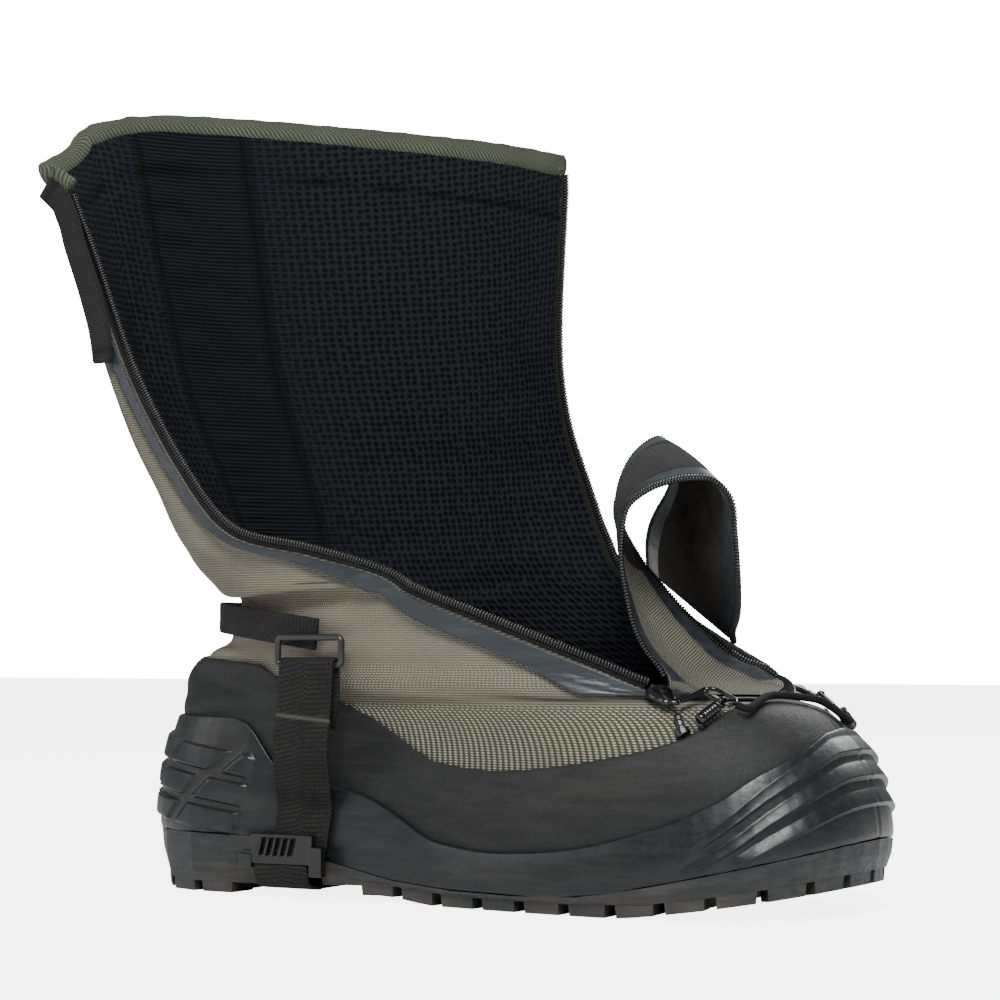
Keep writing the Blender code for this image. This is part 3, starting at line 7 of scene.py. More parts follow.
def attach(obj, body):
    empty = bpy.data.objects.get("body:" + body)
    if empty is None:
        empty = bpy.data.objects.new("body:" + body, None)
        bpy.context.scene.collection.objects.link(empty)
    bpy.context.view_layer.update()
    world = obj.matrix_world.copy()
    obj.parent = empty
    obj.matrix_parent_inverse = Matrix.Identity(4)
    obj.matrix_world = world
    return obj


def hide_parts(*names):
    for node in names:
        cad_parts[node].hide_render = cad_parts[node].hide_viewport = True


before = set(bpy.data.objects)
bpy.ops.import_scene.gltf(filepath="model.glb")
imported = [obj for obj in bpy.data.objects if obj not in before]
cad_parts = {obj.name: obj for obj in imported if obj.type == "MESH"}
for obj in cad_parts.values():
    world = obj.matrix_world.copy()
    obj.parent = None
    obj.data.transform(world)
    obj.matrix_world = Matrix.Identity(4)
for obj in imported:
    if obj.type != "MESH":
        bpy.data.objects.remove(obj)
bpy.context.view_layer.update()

soleLength, ballWidth, heelWidth, setback = 0.345, 0.128, 0.097, 0.046
throatHeight, shaftRise = 0.090, 0.290
wall = 0.002  # cloth of the upper
halfColumns = 54
columns = 2 * halfColumns
topLevel = 16.0  # the collar
both = ((-1, "outer"), (1, "inner"))

# camera and the free cord
shot = {"lens": 92.0, "sensor": 36.0, "place": (0.67624, -0.99777, 0.11074), "turn": 29.0,
        "tip": -3.2634}


def addObject(name, data):
    obj = bpy.data.objects.new(name, data)
    bpy.context.scene.collection.objects.link(obj)
    return obj


# right, up and back directions from a turn about the vertical and a tip below the level
def makeCamera():
    turn, tip = np.radians(shot["turn"]), np.radians(shot["tip"])
    back = np.array([np.sin(turn) * np.cos(tip), -np.cos(turn) * np.cos(tip), np.sin(tip)])
    right = np.array([np.cos(turn), np.sin(turn), 0.0])
    axes = np.stack([right, np.cross(back, right), back, shot["place"]], 1)
    data = bpy.data.cameras.new("camera")
    data.lens, data.sensor_width = shot["lens"], shot["sensor"]
    camera = addObject("camera", data)
    camera.matrix_world = Matrix([list(row) for row in axes] + [[0, 0, 0, 1]])
    bpy.context.scene.camera = camera


# cubic through the rows of a table, slopes from the neighbours
def smooth(rows, at):
    table = np.array(rows, float)
    keys, values = table[:, 0], table[:, 1:]
    at = np.clip(np.asarray(at, float), keys[0], keys[-1])
    slopes = np.gradient(values, keys, axis=0)
    cell = np.clip(np.searchsorted(keys, at, side="right") - 1, 0, len(keys) - 2)
    span = keys[cell + 1] - keys[cell]
    t = ((at - keys[cell]) / span)[..., None]
    span = span[..., None]
    return ((1 + 2 * t) * (1 - t) ** 2 * values[cell] + t * (1 - t) ** 2 * span * slopes[cell]
            + t * t * (3 - 2 * t) * values[cell + 1] + t * t * (t - 1) * span * slopes[cell + 1])


def runOf(points):  # length along a polyline at each point
    return np.concatenate([[0.0], np.cumsum(np.linalg.norm(np.diff(points, axis=0), axis=-1))])


def unit(vectors):  # each vector over its own length
    return vectors / np.linalg.norm(vectors, axis=-1, keepdims=True)


def square(vectors, to):  # the part of each vector that stands square to a unit vector
    return vectors - (vectors * to).sum(-1, keepdims=True) * to


def resample(at, keys, values):  # straight between the rows of a table
    return np.stack([np.interp(at, keys, values[:, k]) for k in range(values.shape[1])], 1)


# equal steps along a polyline, crowded towards its ends by a sine of the share
def even(points, count, crowd=0.0):
    run = runOf(points)
    share = np.linspace(0.0, 1.0, count)
    at = run[-1] * (share - crowd * np.sin(2 * np.pi * share) / (2 * np.pi))
    return resample(at, run, points)


def smoothPath(points, count, crowd=0.0):
    points = np.array(points, float)
    run = runOf(points)
    dense = smooth(np.column_stack([run, points]), np.linspace(0.0, run[-1], 600))
    return even(dense, count, crowd)


cordRoute = [
    (0.2533, -0.03516, 0.0865), (0.25774, -0.03498, 0.0851), (0.25858, -0.0302, 0.08634),
    (0.25841, -0.02536, 0.08783), (0.25851, -0.02043, 0.08899), (0.2586, -0.01543, 0.08983),
    (0.25943, -0.01046, 0.09025), (0.26119, -0.00571, 0.09016), (0.26341, -0.00118, 0.08975),
    (0.2658, 0.00326, 0.0892), (0.26835, 0.00761, 0.08863), (0.27117, 0.01165, 0.08751),
    (0.2745, 0.01456, 0.08509), (0.27799, 0.01671, 0.08211), (0.28127, 0.01904, 0.07904),
    (0.27864, 0.02125, 0.0807)]
cordSize = {"diameter": 0.0032, "points": 90}


def gridQuads(rows, count):  # corner numbers of a grid's cells
    ids = np.arange(rows * count).reshape(rows, count)
    return np.stack([ids[:-1, :-1], ids[1:, :-1], ids[1:, 1:], ids[:-1, 1:]], -1).reshape(-1, 4)


def finishPiece(obj, node=None, body="root"):
    if node:
        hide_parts(node)
    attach(obj, body)
    return obj


# a grid of points as a mesh, with its real lengths as the cloth coordinates and painted values
def gridObject(name, grid, material, node=None, body="root", closed=False, tone=None,
               seam=None, turned=False, upright=False):
    rows, count = grid.shape[:2]
    quads = gridQuads(rows, count)[:, ::-1 if turned else 1]
    mesh = bpy.data.meshes.new(name)
    mesh.from_pydata(grid.reshape(-1, 3).tolist(), [], quads.tolist())
    u = np.pad(np.linalg.norm(np.diff(grid, axis=1), axis=2), ((0, 0), (1, 0))).cumsum(1)
    v = np.pad(np.linalg.norm(np.diff(grid, axis=0), axis=2), ((1, 0), (0, 0))).cumsum(0)
    u = u - u[:, count // 2:count // 2 + 1]
    if upright:  # threads run level and plumb: mean arc of each column against the height
        u, v = np.broadcast_to(u[rows // 4:].mean(0), u.shape), grid[..., 2] * 1.1
    spots = np.stack([u.ravel(), v.ravel()], 1)[quads.ravel()]
    mesh.uv_layers.new(name="cloth").data.foreach_set("uv", spots.ravel())
    for label, values in (("tone", tone), ("seam", seam)):
        paint = mesh.attributes.new(label, "FLOAT", "POINT")
        if values is not None:
            values = np.broadcast_to(values, (rows, count)).astype(float)
            paint.data.foreach_set("value", values.ravel())
    if material:
        mesh.materials.append(material)
    mesh.shade_smooth()
    obj = addObject(name, mesh)
    if closed:
        obj.modifiers.new("Weld", "WELD").merge_threshold = 0.00001
    return finishPiece(obj, node, body)


# frames along a path: tangent, side made square to it, and their cross product
def pathFrames(path, sides, closed=False):
    step = np.roll(path, -1, 0) - np.roll(path, 1, 0) if closed else np.gradient(path, axis=0)
    tangent = unit(step)
    sides = unit(square(sides, tangent))
    return tangent, sides, np.cross(sides, tangent)


# a closed profile carried along a path, profile columns along the side and the normal
def sweep(name, path, sides, profile, material, slotName, node=None, body="root", closed=False,
          scale=1.0, seam=None):
    path, sides = np.array(path, float), np.array(sides, float)
    _, sides, normal = pathFrames(path, sides, closed)
    profile = np.concatenate([profile, profile[:1]])
    size = (np.ones(len(path)) * scale).reshape(-1, 1, 1)
    grid = path[:, None] + (sides[:, None] * profile[None, :, :1]
                            + normal[:, None] * profile[None, :, 1:]) * size
    if closed:
        grid = np.concatenate([grid, grid[:1]])
    else:  # each end is drawn together on the path
        grid = np.concatenate([path[None, :1] + 0 * grid[:1], grid, path[None, -1:] + 0 * grid[:1]])
    if seam is not None:
        seam = np.pad(seam, 1, mode="edge")[:, None]
    return gridObject(name, grid, material, node, body, True, seam=seam)


def roundProfile(width, height, sides=16):
    turn = np.arange(sides) * 2 * np.pi / sides
    return np.stack([np.cos(turn) * width / 2, np.sin(turn) * height / 2], 1)


# round tube along the route's points, smoothed and evenly stepped
def makeCord():
    path = smoothPath(cordRoute, cordSize["points"])
    cord = sweep("pullCord", path, np.tile((0.05, 0.3, 1.0), (len(path), 1)),
                 roundProfile(cordSize["diameter"], cordSize["diameter"], 14), None, "cord", "pull_cord")
    return cord


makeCamera()
pullCord = makeCord()
print("camera and cord made")


# material tools
def plug(tree, value, socket):  # link another socket, or set a plain value
    if isinstance(value, bpy.types.NodeSocket):
        tree.links.new(value, socket)
    else:
        socket.default_value = value


def put(tree, kind, values=(), **settings):
    node = tree.nodes.new(kind)
    for key, value in settings.items():
        setattr(node, key, value)
    for key, value in dict(values).items():
        plug(tree, value, node.inputs[key])
    return node


def mixed(tree, share, first, second):
    pair = [c if isinstance(c, bpy.types.NodeSocket) else (*c, 1.0) for c in (first, second)]
    values = {0: share, 6: pair[0], 7: pair[1]}
    return put(tree, "ShaderNodeMix", values, data_type="RGBA").outputs[2]


def maths(tree, operation, first, second):
    return put(tree, "ShaderNodeMath", {0: first, 1: second}, operation=operation).outputs[0]


def times(tree, first, second):
    return maths(tree, "MULTIPLY", first, second)


def plus(tree, first, second):
    return maths(tree, "ADD", first, second)


def spread(tree, value, low, high, toLow=0.0, toHigh=1.0):
    values = {0: value, 1: low, 2: high, 3: toLow, 4: toHigh}
    return put(tree, "ShaderNodeMapRange", values).outputs[0]


def clothAt(tree):
    return put(tree, "ShaderNodeUVMap", uv_map="cloth").outputs[0]


def solidAt(tree, stretch=None):
    solid = put(tree, "ShaderNodeTexCoord").outputs["Object"]
    if stretch:
        solid = put(tree, "ShaderNodeMapping", {"Vector": solid, "Scale": stretch}).outputs[0]
    return solid


def painted(tree, label):
    return put(tree, "ShaderNodeAttribute", attribute_name=label).outputs["Fac"]


def noise(tree, where, scale, detail=3.0, rough=0.55):
    values = {"Vector": where, "Scale": scale, "Detail": detail, "Roughness": rough}
    return put(tree, "ShaderNodeTexNoise", values).outputs["Fac"]


# wave bands with a period in metres: 2 pi / 20 over the period is the scale
def bands(tree, where, period, direction="X", distortion=0.0):
    values = {"Vector": where, "Scale": 0.31416 / period, "Distortion": distortion,
              "Detail": 2.0, "Detail Scale": 1.5}
    return put(tree, "ShaderNodeTexWave", values, bands_direction=direction).outputs["Fac"]


def startMaterial(name):
    material = bpy.data.materials.new(name)
    material.use_nodes = True
    return material, material.node_tree


def finishMaterial(material, colour, rough, height, distance, gloss=0.5):
    tree = material.node_tree
    relief = put(tree, "ShaderNodeBump", {"Height": height, "Strength": 1.0, "Distance": distance})
    sockets = tree.nodes["Principled BSDF"].inputs
    plug(tree, colour, sockets["Base Color"])
    plug(tree, rough, sockets["Roughness"])
    plug(tree, relief.outputs[0], sockets["Normal"])
    sockets["Specular IOR Level"].default_value = gloss
    return material


# woven cloth: crossing bands of warp and weft, soft blotches, a painted tone and dark seams
def clothMaterial(name, dark, light, tone, pitch, twill=False, rough=0.9, depth=0.00025,
                  blotch=26.0):
    material, tree = startMaterial(name)
    cloth, seam = clothAt(tree), painted(tree, "seam")
    warp = bands(tree, cloth, pitch, "DIAGONAL" if twill else "X", 0.12)
    weft = bands(tree, cloth, pitch * (1.0 if twill else 1.15), "Y", 0.12)
    if twill:
        weave = maths(tree, "MAXIMUM", warp, times(tree, weft, 0.4))
    else:
        weave = times(tree, warp, weft)
    fibres = spread(tree, noise(tree, cloth, 900.0), 0.3, 0.7, 0.55, 1.0)
    patches = spread(tree, noise(tree, solidAt(tree), blotch, 5.0), 0.35, 0.68)
    base = mixed(tree, spread(tree, times(tree, weave, fibres), 0.08, 0.62), dark, light)
    stain = times(tree, painted(tree, "tone"), spread(tree, patches, 0.0, 1.0, 0.55, 1.0))
    shaded = mixed(tree, times(tree, patches, 0.30), mixed(tree, stain, base, tone), dark)
    colour = mixed(tree, times(tree, seam, 0.72), shaded, tuple(c * 0.25 for c in dark))
    height = maths(tree, "SUBTRACT", plus(tree, weave, times(tree, patches, 0.5)),
                   times(tree, seam, 1.5))
    tree.nodes["Principled BSDF"].inputs["Sheen Weight"].default_value = 0.03
    return finishMaterial(material, colour, rough, height, depth, 0.18)


# rubber or coating: two grains of noise, streaks along the object, dust on a painted tone and,
# where low is given, on the lowest part
def rubberMaterial(name, colour, dust, rough, grain, depth, dustShare, low=None, streak=0.0):
    material, tree = startMaterial(name)
    solid = solidAt(tree)
    fine = noise(tree, solid, grain, 4.0, 0.65)
    broad = spread(tree, noise(tree, solid, 22.0, 5.0, 0.6), 0.38, 0.66)
    brushed = noise(tree, solidAt(tree, (0.12, 0.6, 1.0)), 260.0, 5.0, 0.7)
    streaks = spread(tree, brushed, 0.42, 0.62)
    stain = times(tree, painted(tree, "tone"), spread(tree, streaks, 0.0, 1.0, 0.45, 1.0))
    amount = plus(tree, times(tree, times(tree, broad, streaks), dustShare), stain)
    if low:
        height = put(tree, "ShaderNodeSeparateXYZ", {0: solid}).outputs[2]
        settled = times(tree, spread(tree, height, low[0], low[1], 1.0, 0.0),
                        spread(tree, broad, 0.0, 1.0, 0.1, low[2]))
        amount = plus(tree, amount, settled)
    amount = put(tree, "ShaderNodeClamp", {0: amount}).outputs[0]
    lifted = mixed(tree, times(tree, streaks, streak), colour, tuple(c * 2.4 for c in colour))
    roughness = plus(tree, spread(tree, fine, 0.3, 0.7, rough - 0.07, rough + 0.09),
                     times(tree, amount, 0.22))
    relief = plus(tree, fine, times(tree, streaks, 0.35))
    surface = mixed(tree, amount, lifted, dust)
    return finishMaterial(material, surface, roughness, relief, depth, 0.36)


# moulded gloss plastic: faint flow lines and fine scratches that dull it
def plasticMaterial(name, colour, rough):
    material, tree = startMaterial(name)
    solid = solidAt(tree)
    lines = noise(tree, solidAt(tree, (0.2, 1.0, 1.0)), 1500.0, 4.0, 0.7)
    worn = times(tree, spread(tree, lines, 0.5, 0.66),
                 spread(tree, noise(tree, solid, 130.0), 0.45, 0.7))
    surface = mixed(tree, times(tree, worn, 0.35), colour, tuple(c * 4 + 0.02 for c in colour))
    roughness = spread(tree, worn, 0.0, 1.0, rough, rough + 0.25)
    return finishMaterial(material, surface, roughness, noise(tree, solid, 700.0), 0.00004)


# webbing: rows of raised light dots, every second row shifted by half, ribs between them
def webbingMaterial(name, dark, dot, pitch, dots=1.0):
    material, tree = startMaterial(name)
    cloth = clothAt(tree)
    brick = put(tree, "ShaderNodeTexBrick", {
        "Vector": cloth, "Scale": 1.0, "Mortar Size": pitch * 0.22, "Mortar Smooth": 0.6,
        "Brick Width": pitch * 1.15, "Row Height": pitch * 0.62}, offset=0.5).outputs["Fac"]
    thread = spread(tree, noise(tree, cloth, 1300.0), 0.3, 0.7)
    lump = maths(tree, "SUBTRACT", 1.0, brick)
    worn = spread(tree, noise(tree, solidAt(tree), 90.0, 4.0), 0.3, 0.7, 0.5, 1.0)
    lit = times(tree, times(tree, times(tree, lump, thread), dots), worn)
    stitch = times(tree, painted(tree, "seam"), 0.6)
    colour = mixed(tree, stitch, mixed(tree, lit, dark, dot), tuple(c * 1.6 for c in dot))
    height = plus(tree, times(tree, lump, 0.8), times(tree, thread, 0.4))
    return finishMaterial(material, colour, 0.78, height, 0.00022, 0.2)


# open knit lining: a staggered net of round holes, with ribs where the tone is painted
def liningMaterial(name, dark, light, pitch):
    material, tree = startMaterial(name)
    cloth, seam = clothAt(tree), painted(tree, "seam")
    values = {"Vector": cloth, "Scale": 1.0 / pitch, "Randomness": 0.25}
    holes = put(tree, "ShaderNodeTexVoronoi", values, voronoi_dimensions="2D").outputs["Distance"]
    fuzz = noise(tree, cloth, 1100.0)
    pattern = put(tree, "ShaderNodeMix", {
        0: painted(tree, "tone"), 2: spread(tree, holes, 0.22, 0.46),
        3: bands(tree, cloth, 0.0021, "Y", 0.1)}).outputs[0]
    lit = times(tree, pattern, spread(tree, fuzz, 0.3, 0.7, 0.35, 1.0))
    colour = mixed(tree, times(tree, seam, 0.8), mixed(tree, lit, dark, light),
                   tuple(c * 0.3 for c in dark))
    height = maths(tree, "SUBTRACT", plus(tree, pattern, times(tree, fuzz, 0.3)), seam)
    return finishMaterial(material, colour, 0.95, height, 0.0005, 0.12)


olive = clothMaterial("oliveCloth", (0.040, 0.039, 0.029), (0.36, 0.35, 0.265),
                      (0.27, 0.235, 0.185), 0.00102)
# olive painted in shade: a darker copy of the olive cloth for the tongue's face where it turns into the
# shadow inside the loop
paintedShadeOlive = clothMaterial("paintedShadeOlive", (0.007, 0.006, 0.004), (0.050, 0.043, 0.032),
                           (0.03, 0.028, 0.02), 0.0012)
twill = clothMaterial("bindingTwill", (0.022, 0.026, 0.018), (0.098, 0.112, 0.074),
                      (0.060, 0.068, 0.046), 0.0012, True, 0.85, 0.0003, 40.0)
darkCloth = clothMaterial("darkCloth", (0.006, 0.006, 0.006), (0.030, 0.030, 0.030),
                          (0.02, 0.02, 0.02), 0.0011)
knit = clothMaterial("ribKnit", (0.004, 0.004, 0.005), (0.034, 0.034, 0.036),
                     (0.05, 0.05, 0.05), 0.0019, False, 0.95, 0.0006)
lining = liningMaterial("meshLining", (0.0012, 0.0014, 0.002), (0.0130, 0.0155, 0.0205), 0.0036)
coated = rubberMaterial("coatedTape", (0.0165, 0.0215, 0.0258), (0.060, 0.069, 0.078),
                        0.34, 240.0, 0.00022, 0.35)
randCloth = rubberMaterial("randCloth", (0.0046, 0.0049, 0.0053), (0.040, 0.038, 0.034),
                           0.62, 900.0, 0.00016, 0.13, streak=0.55)
shellRubber = rubberMaterial("shellRubber", (0.0062, 0.0075, 0.0083), (0.046, 0.040, 0.033),
                             0.34, 500.0, 0.00007, 0.14, streak=0.30)
treadRubber = rubberMaterial("treadRubber", (0.0120, 0.0140, 0.0152), (0.066, 0.058, 0.047),
                             0.50, 330.0, 0.00030, 0.45, (0.004, 0.022, 0.35), 0.4)
webbing = webbingMaterial("strapWebbing", (0.0028, 0.0028, 0.0030), (0.060, 0.058, 0.054), 0.0017)
cordBraid = webbingMaterial("cordBraid", (0.0030, 0.0030, 0.0030), (0.018, 0.018, 0.018),
                            0.0011, 0.8)
blackPlastic = plasticMaterial("glossPlastic", (0.0045, 0.0047, 0.005), 0.18)
ringPlastic = plasticMaterial("ringPlastic", (0.014, 0.014, 0.015), 0.32)
coilNylon = plasticMaterial("coilNylon", (0.010, 0.010, 0.011), 0.34)
pullCord.data.materials.append(cordBraid)
print("materials made")


# the surface of the upper: the same sections as the solids
outerOutline = [
    (1.000, 0.00, -0.10), (0.992, 0.00, 0.22), (0.966, 0.00, 0.54), (0.905, 0.00, 0.82),
    (0.800, 0.00, 0.98), (0.681, 0.00, 1.00), (0.551, 0.20, 0.78), (0.420, 0.55, 0.41),
    (0.290, 0.85, 0.12), (0.174, 1.00, 0.00), (0.087, 0.96, 0.00), (0.030, 0.74, 0.00),
    (0.005, 0.38, 0.00), (0.000, 0.00, 0.00)]
innerOutline = [
    (1.000, 0.00, 0.10), (0.993, 0.00, 0.42), (0.972, 0.00, 0.70), (0.915, 0.00, 0.90),
    (0.797, 0.00, 0.97), (0.681, 0.00, 0.92), (0.551, 0.15, 0.64), (0.420, 0.50, 0.27),
    (0.290, 0.75, 0.09), (0.174, 0.95, 0.00), (0.087, 0.93, 0.00), (0.030, 0.74, 0.00),
    (0.005, 0.38, 0.00), (0.000, 0.00, 0.00)]
soleProfile = [
    (0.000, 0.60, 1.00, 1.00), (0.035, 0.16, 1.00, 1.00), (0.060, 0.00, 0.99, 1.00),
    (0.180, 0.00, 0.95, 0.97), (0.275, 0.00, 0.74, 0.88), (0.330, 0.10, 0.58, 0.80),
    (0.400, 0.20, 0.40, 0.70), (0.480, 0.00, 0.29, 0.60), (0.560, 0.00, 0.27, 0.54),
    (0.680, 0.00, 0.28, 0.52), (0.740, 0.00, 0.38, 0.54), (0.800, 0.16, 0.53, 0.60),
    (0.880, 0.45, 0.75, 0.74), (0.960, 0.80, 1.00, 0.92), (1.000, 1.00, 1.15, 1.00)]
footSections = [
    (None, None, 0.021, 0.975, 0.86, 0.89, 0.88), (0.56, 0.56, 0.020, 0.972, 0.89, 0.91, 0.87),
    (0.70, 0.71, 0.030, 0.962, 0.88, 0.90, 0.82), (0.80, 0.82, 0.036, 0.945, 0.87, 0.89, 0.73),
    (0.87, 0.91, 0.039, 0.918, 0.86, 0.88, 0.67), (0.94, 0.965, 0.039, 0.868, 0.85, 0.87, 0.66)]
shaftSections = [
    (0.777, -0.50, 0.995, 0.60, -0.85, 1.005, 0.016, 0.00, 1.02, 0.62, 0.80, 1.01, 0.852, 0.41, 1.010),
    (0.681, -0.74, 1.045, 0.48, -0.87, 1.045, 0.047, 0.00, 1.06, 0.42, 0.79, 1.05, 0.730, 0.69, 1.076),
    (0.516, -0.91, 1.121, 0.38, -0.91, 1.09, 0.090, 0.00, 1.10, 0.42, 0.78, 1.11, 0.594, 0.84, 1.172),
    (0.458, -0.94, 1.148, 0.36, -0.94, 1.155, 0.100, 0.00, 1.150, 0.41, 0.84, 1.15, 0.551, 0.91, 1.241),
    (0.414, -0.95, 1.176, 0.33, -1.02, 1.143, 0.090, -0.03, 1.17, 0.38, 0.97, 1.19, 0.522, 0.94, 1.328),
    (0.319, -1.03, 1.207, 0.25, -1.04, 1.18, 0.066, -0.06, 1.21, 0.35, 1.12, 1.26, 0.499, 0.94, 1.414),
    (0.206, -1.09, 1.241, 0.19, -1.09, 1.23, 0.044, -0.09, 1.27, 0.32, 1.22, 1.34, 0.487, 0.94, 1.500),
    (0.119, -1.04, 1.341, 0.10, -1.04, 1.34, 0.006, -0.12, 1.36, 0.30, 1.28, 1.43, 0.485, 0.94, 1.586),
    (0.020, -0.92, 1.500, 0.00, -0.92, 1.50, -0.060, -0.16, 1.52, 0.29, 1.33, 1.58, 0.488, 0.95, 1.690),
    (-0.060, -0.84, 1.690, -0.07, -0.84, 1.70, -0.118, -0.15, 1.74, 0.27, 1.36, 1.78, 0.493, 0.95, 1.793),
    (-0.102, -0.84, 1.800, -0.13, -0.84, 1.845, -0.155, -0.19, 1.912, 0.255, 1.38, 1.937, 0.494, 0.94, 1.834)]
endCrowd, collarSkew, crotchLevel = 0.4, 1.5, 5.0


def stationX(share):
    return share * soleLength - setback


def levelHeight(h):
    return throatHeight * np.minimum(h, 1.0) + shaftRise * np.maximum(np.asarray(h) - 1.0, 0.0)


def tablePoints(rows):
    rows = np.array(rows, float)
    return np.stack([stationX(rows[:, 0]), rows[:, 1] * ballWidth / 2, levelHeight(rows[:, 2])], 1)


def halfOutline(table, side, count):
    rows = np.array(table)
    across = side * (rows[:, 1] * heelWidth + rows[:, 2] * ballWidth) / 2
    return smoothPath(np.stack([stationX(rows[:, 0]), across], 1), count, endCrowd)


def soleOutline():
    outer = halfOutline(outerOutline, -1, halfColumns + 1)
    inner = halfOutline(innerOutline, 1, halfColumns + 1)
    return np.concatenate([outer, inner[::-1][1:]])


def soleHeights(x):  # tread, top of the outsole and floor of the foot
    profile = smooth(soleProfile, (np.asarray(x) + setback) / soleLength)
    return np.maximum(profile[..., 0], 0.0) * 0.0135, profile[..., 1] * 0.027, profile[..., 2] * 0.036


ring = soleOutline()


# the sole's outline drawn in by a width share, at a height that rises from back to front
def footSection(row):
    backHeight, frontHeight, back, front = row[:4]
    share = (ring[:, 0] + setback) / soleLength
    x = stationX(back + (front - back) * share)
    y = ring[:, 1] * np.interp(share, (0.15, 0.65, 1.0), row[4:])
    if backHeight is None:
        z = soleHeights(x)[2] + 0.0006
    else:
        z = throatHeight * (backHeight + (frontHeight - backHeight) * share)
    return np.stack([x, y, z], 1)


# quarter ellipse from the back to the widest point, then a bow to the zip edge
def shaftHalf(end, widest, back, middle, skew):
    turn = np.linspace(0.0, np.pi / 2, 60)
    quarter = np.stack([widest[0] - (widest[0] - back[0]) * np.cos(turn),
                        back[1] + (widest[1] - back[1]) * np.sin(turn)], 1)
    t = np.linspace(0.0, 1.0, 30)[1:]
    bow = np.stack([widest[0] + (end[0] - widest[0]) * t, widest[1] + (end[1] - widest[1]) * t * t], 1)
    path = even(np.concatenate([quarter, bow])[::-1], halfColumns + 1, endCrowd)
    s = np.linspace(0.0, 1.0, halfColumns + 1)
    rise = np.sin(np.pi * s ** skew) / np.sin(np.pi * 0.5 ** skew)
    height = end[2] * (1 - s) + back[2] * s + (middle - (end[2] + back[2]) / 2) * rise
    return np.column_stack([path, levelHeight(height)])


def shaftSection(row):
    row = np.array(row, float)
    along = stationX(row[[0, 3, 6, 9, 12]])
    across = row[[1, 4, 7, 10, 13]] * ballWidth / 2
    back = (along[2], across[2], row[8])
    outer = shaftHalf((along[0], across[0], row[2]), (along[1], across[1]), back, row[5], 1.0)
    inner = shaftHalf((along[4], across[4], row[14]), (along[3], across[3]), back, row[11], collarSkew)
    return np.concatenate([outer, inner[::-1][1:]])


sections = np.array([footSection(row) for row in footSections]
                    + [shaftSection(row) for row in shaftSections])
halfShares = np.linspace(0.0, 1.0, halfColumns + 1)
halfStations = halfShares - endCrowd * np.sin(2 * np.pi * halfShares) / (2 * np.pi)
stations = np.concatenate([halfStations, halfStations[::-1][1:]])


def sectionsAt(levels):  # cubic up the sections at every column
    flat = sections.reshape(len(sections), -1)
    rows = smooth(np.column_stack([np.arange(len(sections)), flat]), levels)
    return rows.reshape(-1, columns + 1, 3)


# point of the outer face at a level and column, straight between columns
def upperAt(level, column):
    level = np.asarray(level, float)
    stack = sectionsAt(level.ravel())
    column = np.broadcast_to(np.asarray(column, float), level.shape).ravel()
    low = np.clip(np.floor(column).astype(int), 0, columns - 1)
    part = (column - low)[:, None]
    pick = np.arange(len(column))
    points = stack[pick, low] * (1 - part) + stack[pick, low + 1] * part
    return points.reshape(level.shape + (3,))


# unit cross product of the steps up the rows and along the columns
def gridNormals(grid, closed=False):
    up = np.gradient(grid, axis=0)
    if closed:
        wide = np.concatenate([grid[:, -2:-1], grid, grid[:, 1:2]], 1)
        along = (wide[:, 2:] - wide[:, :-2]) / 2
    else:
        along = np.gradient(grid, axis=1)
    normal = np.cross(up, along)
    return normal / np.maximum(np.linalg.norm(normal, axis=2, keepdims=True), 1e-12)


# points and normals of the upper at its levels; the rows below the crotch close round
def upperGrid(levels):
    grid = sectionsAt(levels)
    normals = gridNormals(grid)
    closed = levels <= crotchLevel + 1e-6
    normals[closed] = gridNormals(grid, True)[closed]
    for _ in range(6):  # evened with the neighbours
        near = np.pad(normals, ((1, 1), (1, 1), (0, 0)), mode="edge")
        blend = near[:-2, 1:-1] + near[2:, 1:-1] + near[1:-1, :-2] + near[1:-1, 2:] + 2 * normals
        blend[closed, 0] = blend[closed, -1] = blend[closed, 0] + blend[closed, -1]
        normals = unit(blend)
    return grid, normals


def thicken(obj, thickness):
    solid = obj.modifiers.new("Solidify", "SOLIDIFY")
    solid.thickness, solid.offset, solid.use_even_offset = thickness, -1.0, False


# sum of three crossed sines, a cheap rumple between -1 and 1
def rumple(a, b, seed=0.0):
    return (np.sin(a * 1.0 + 1.3 * np.sin(b * 0.7 + seed))
            + 0.6 * np.sin(a * 0.43 + b * 1.7 + seed * 2.1)
            + 0.4 * np.sin(b * 2.9 - a * 1.9 + seed)) / 2.0


def bump(values, middle, width):  # bell of a value round its middle
    return np.exp(-((values - middle) / width) ** 2)


# upper: sections, with folds sunk into the cloth along each level
upperLook = {"rows": 150, "folds": 0.0024, "ankle": 8.8, "hem": 0.014, "band": 0.021,
             "liningGap": 0.0004, "puff": 0.0006}


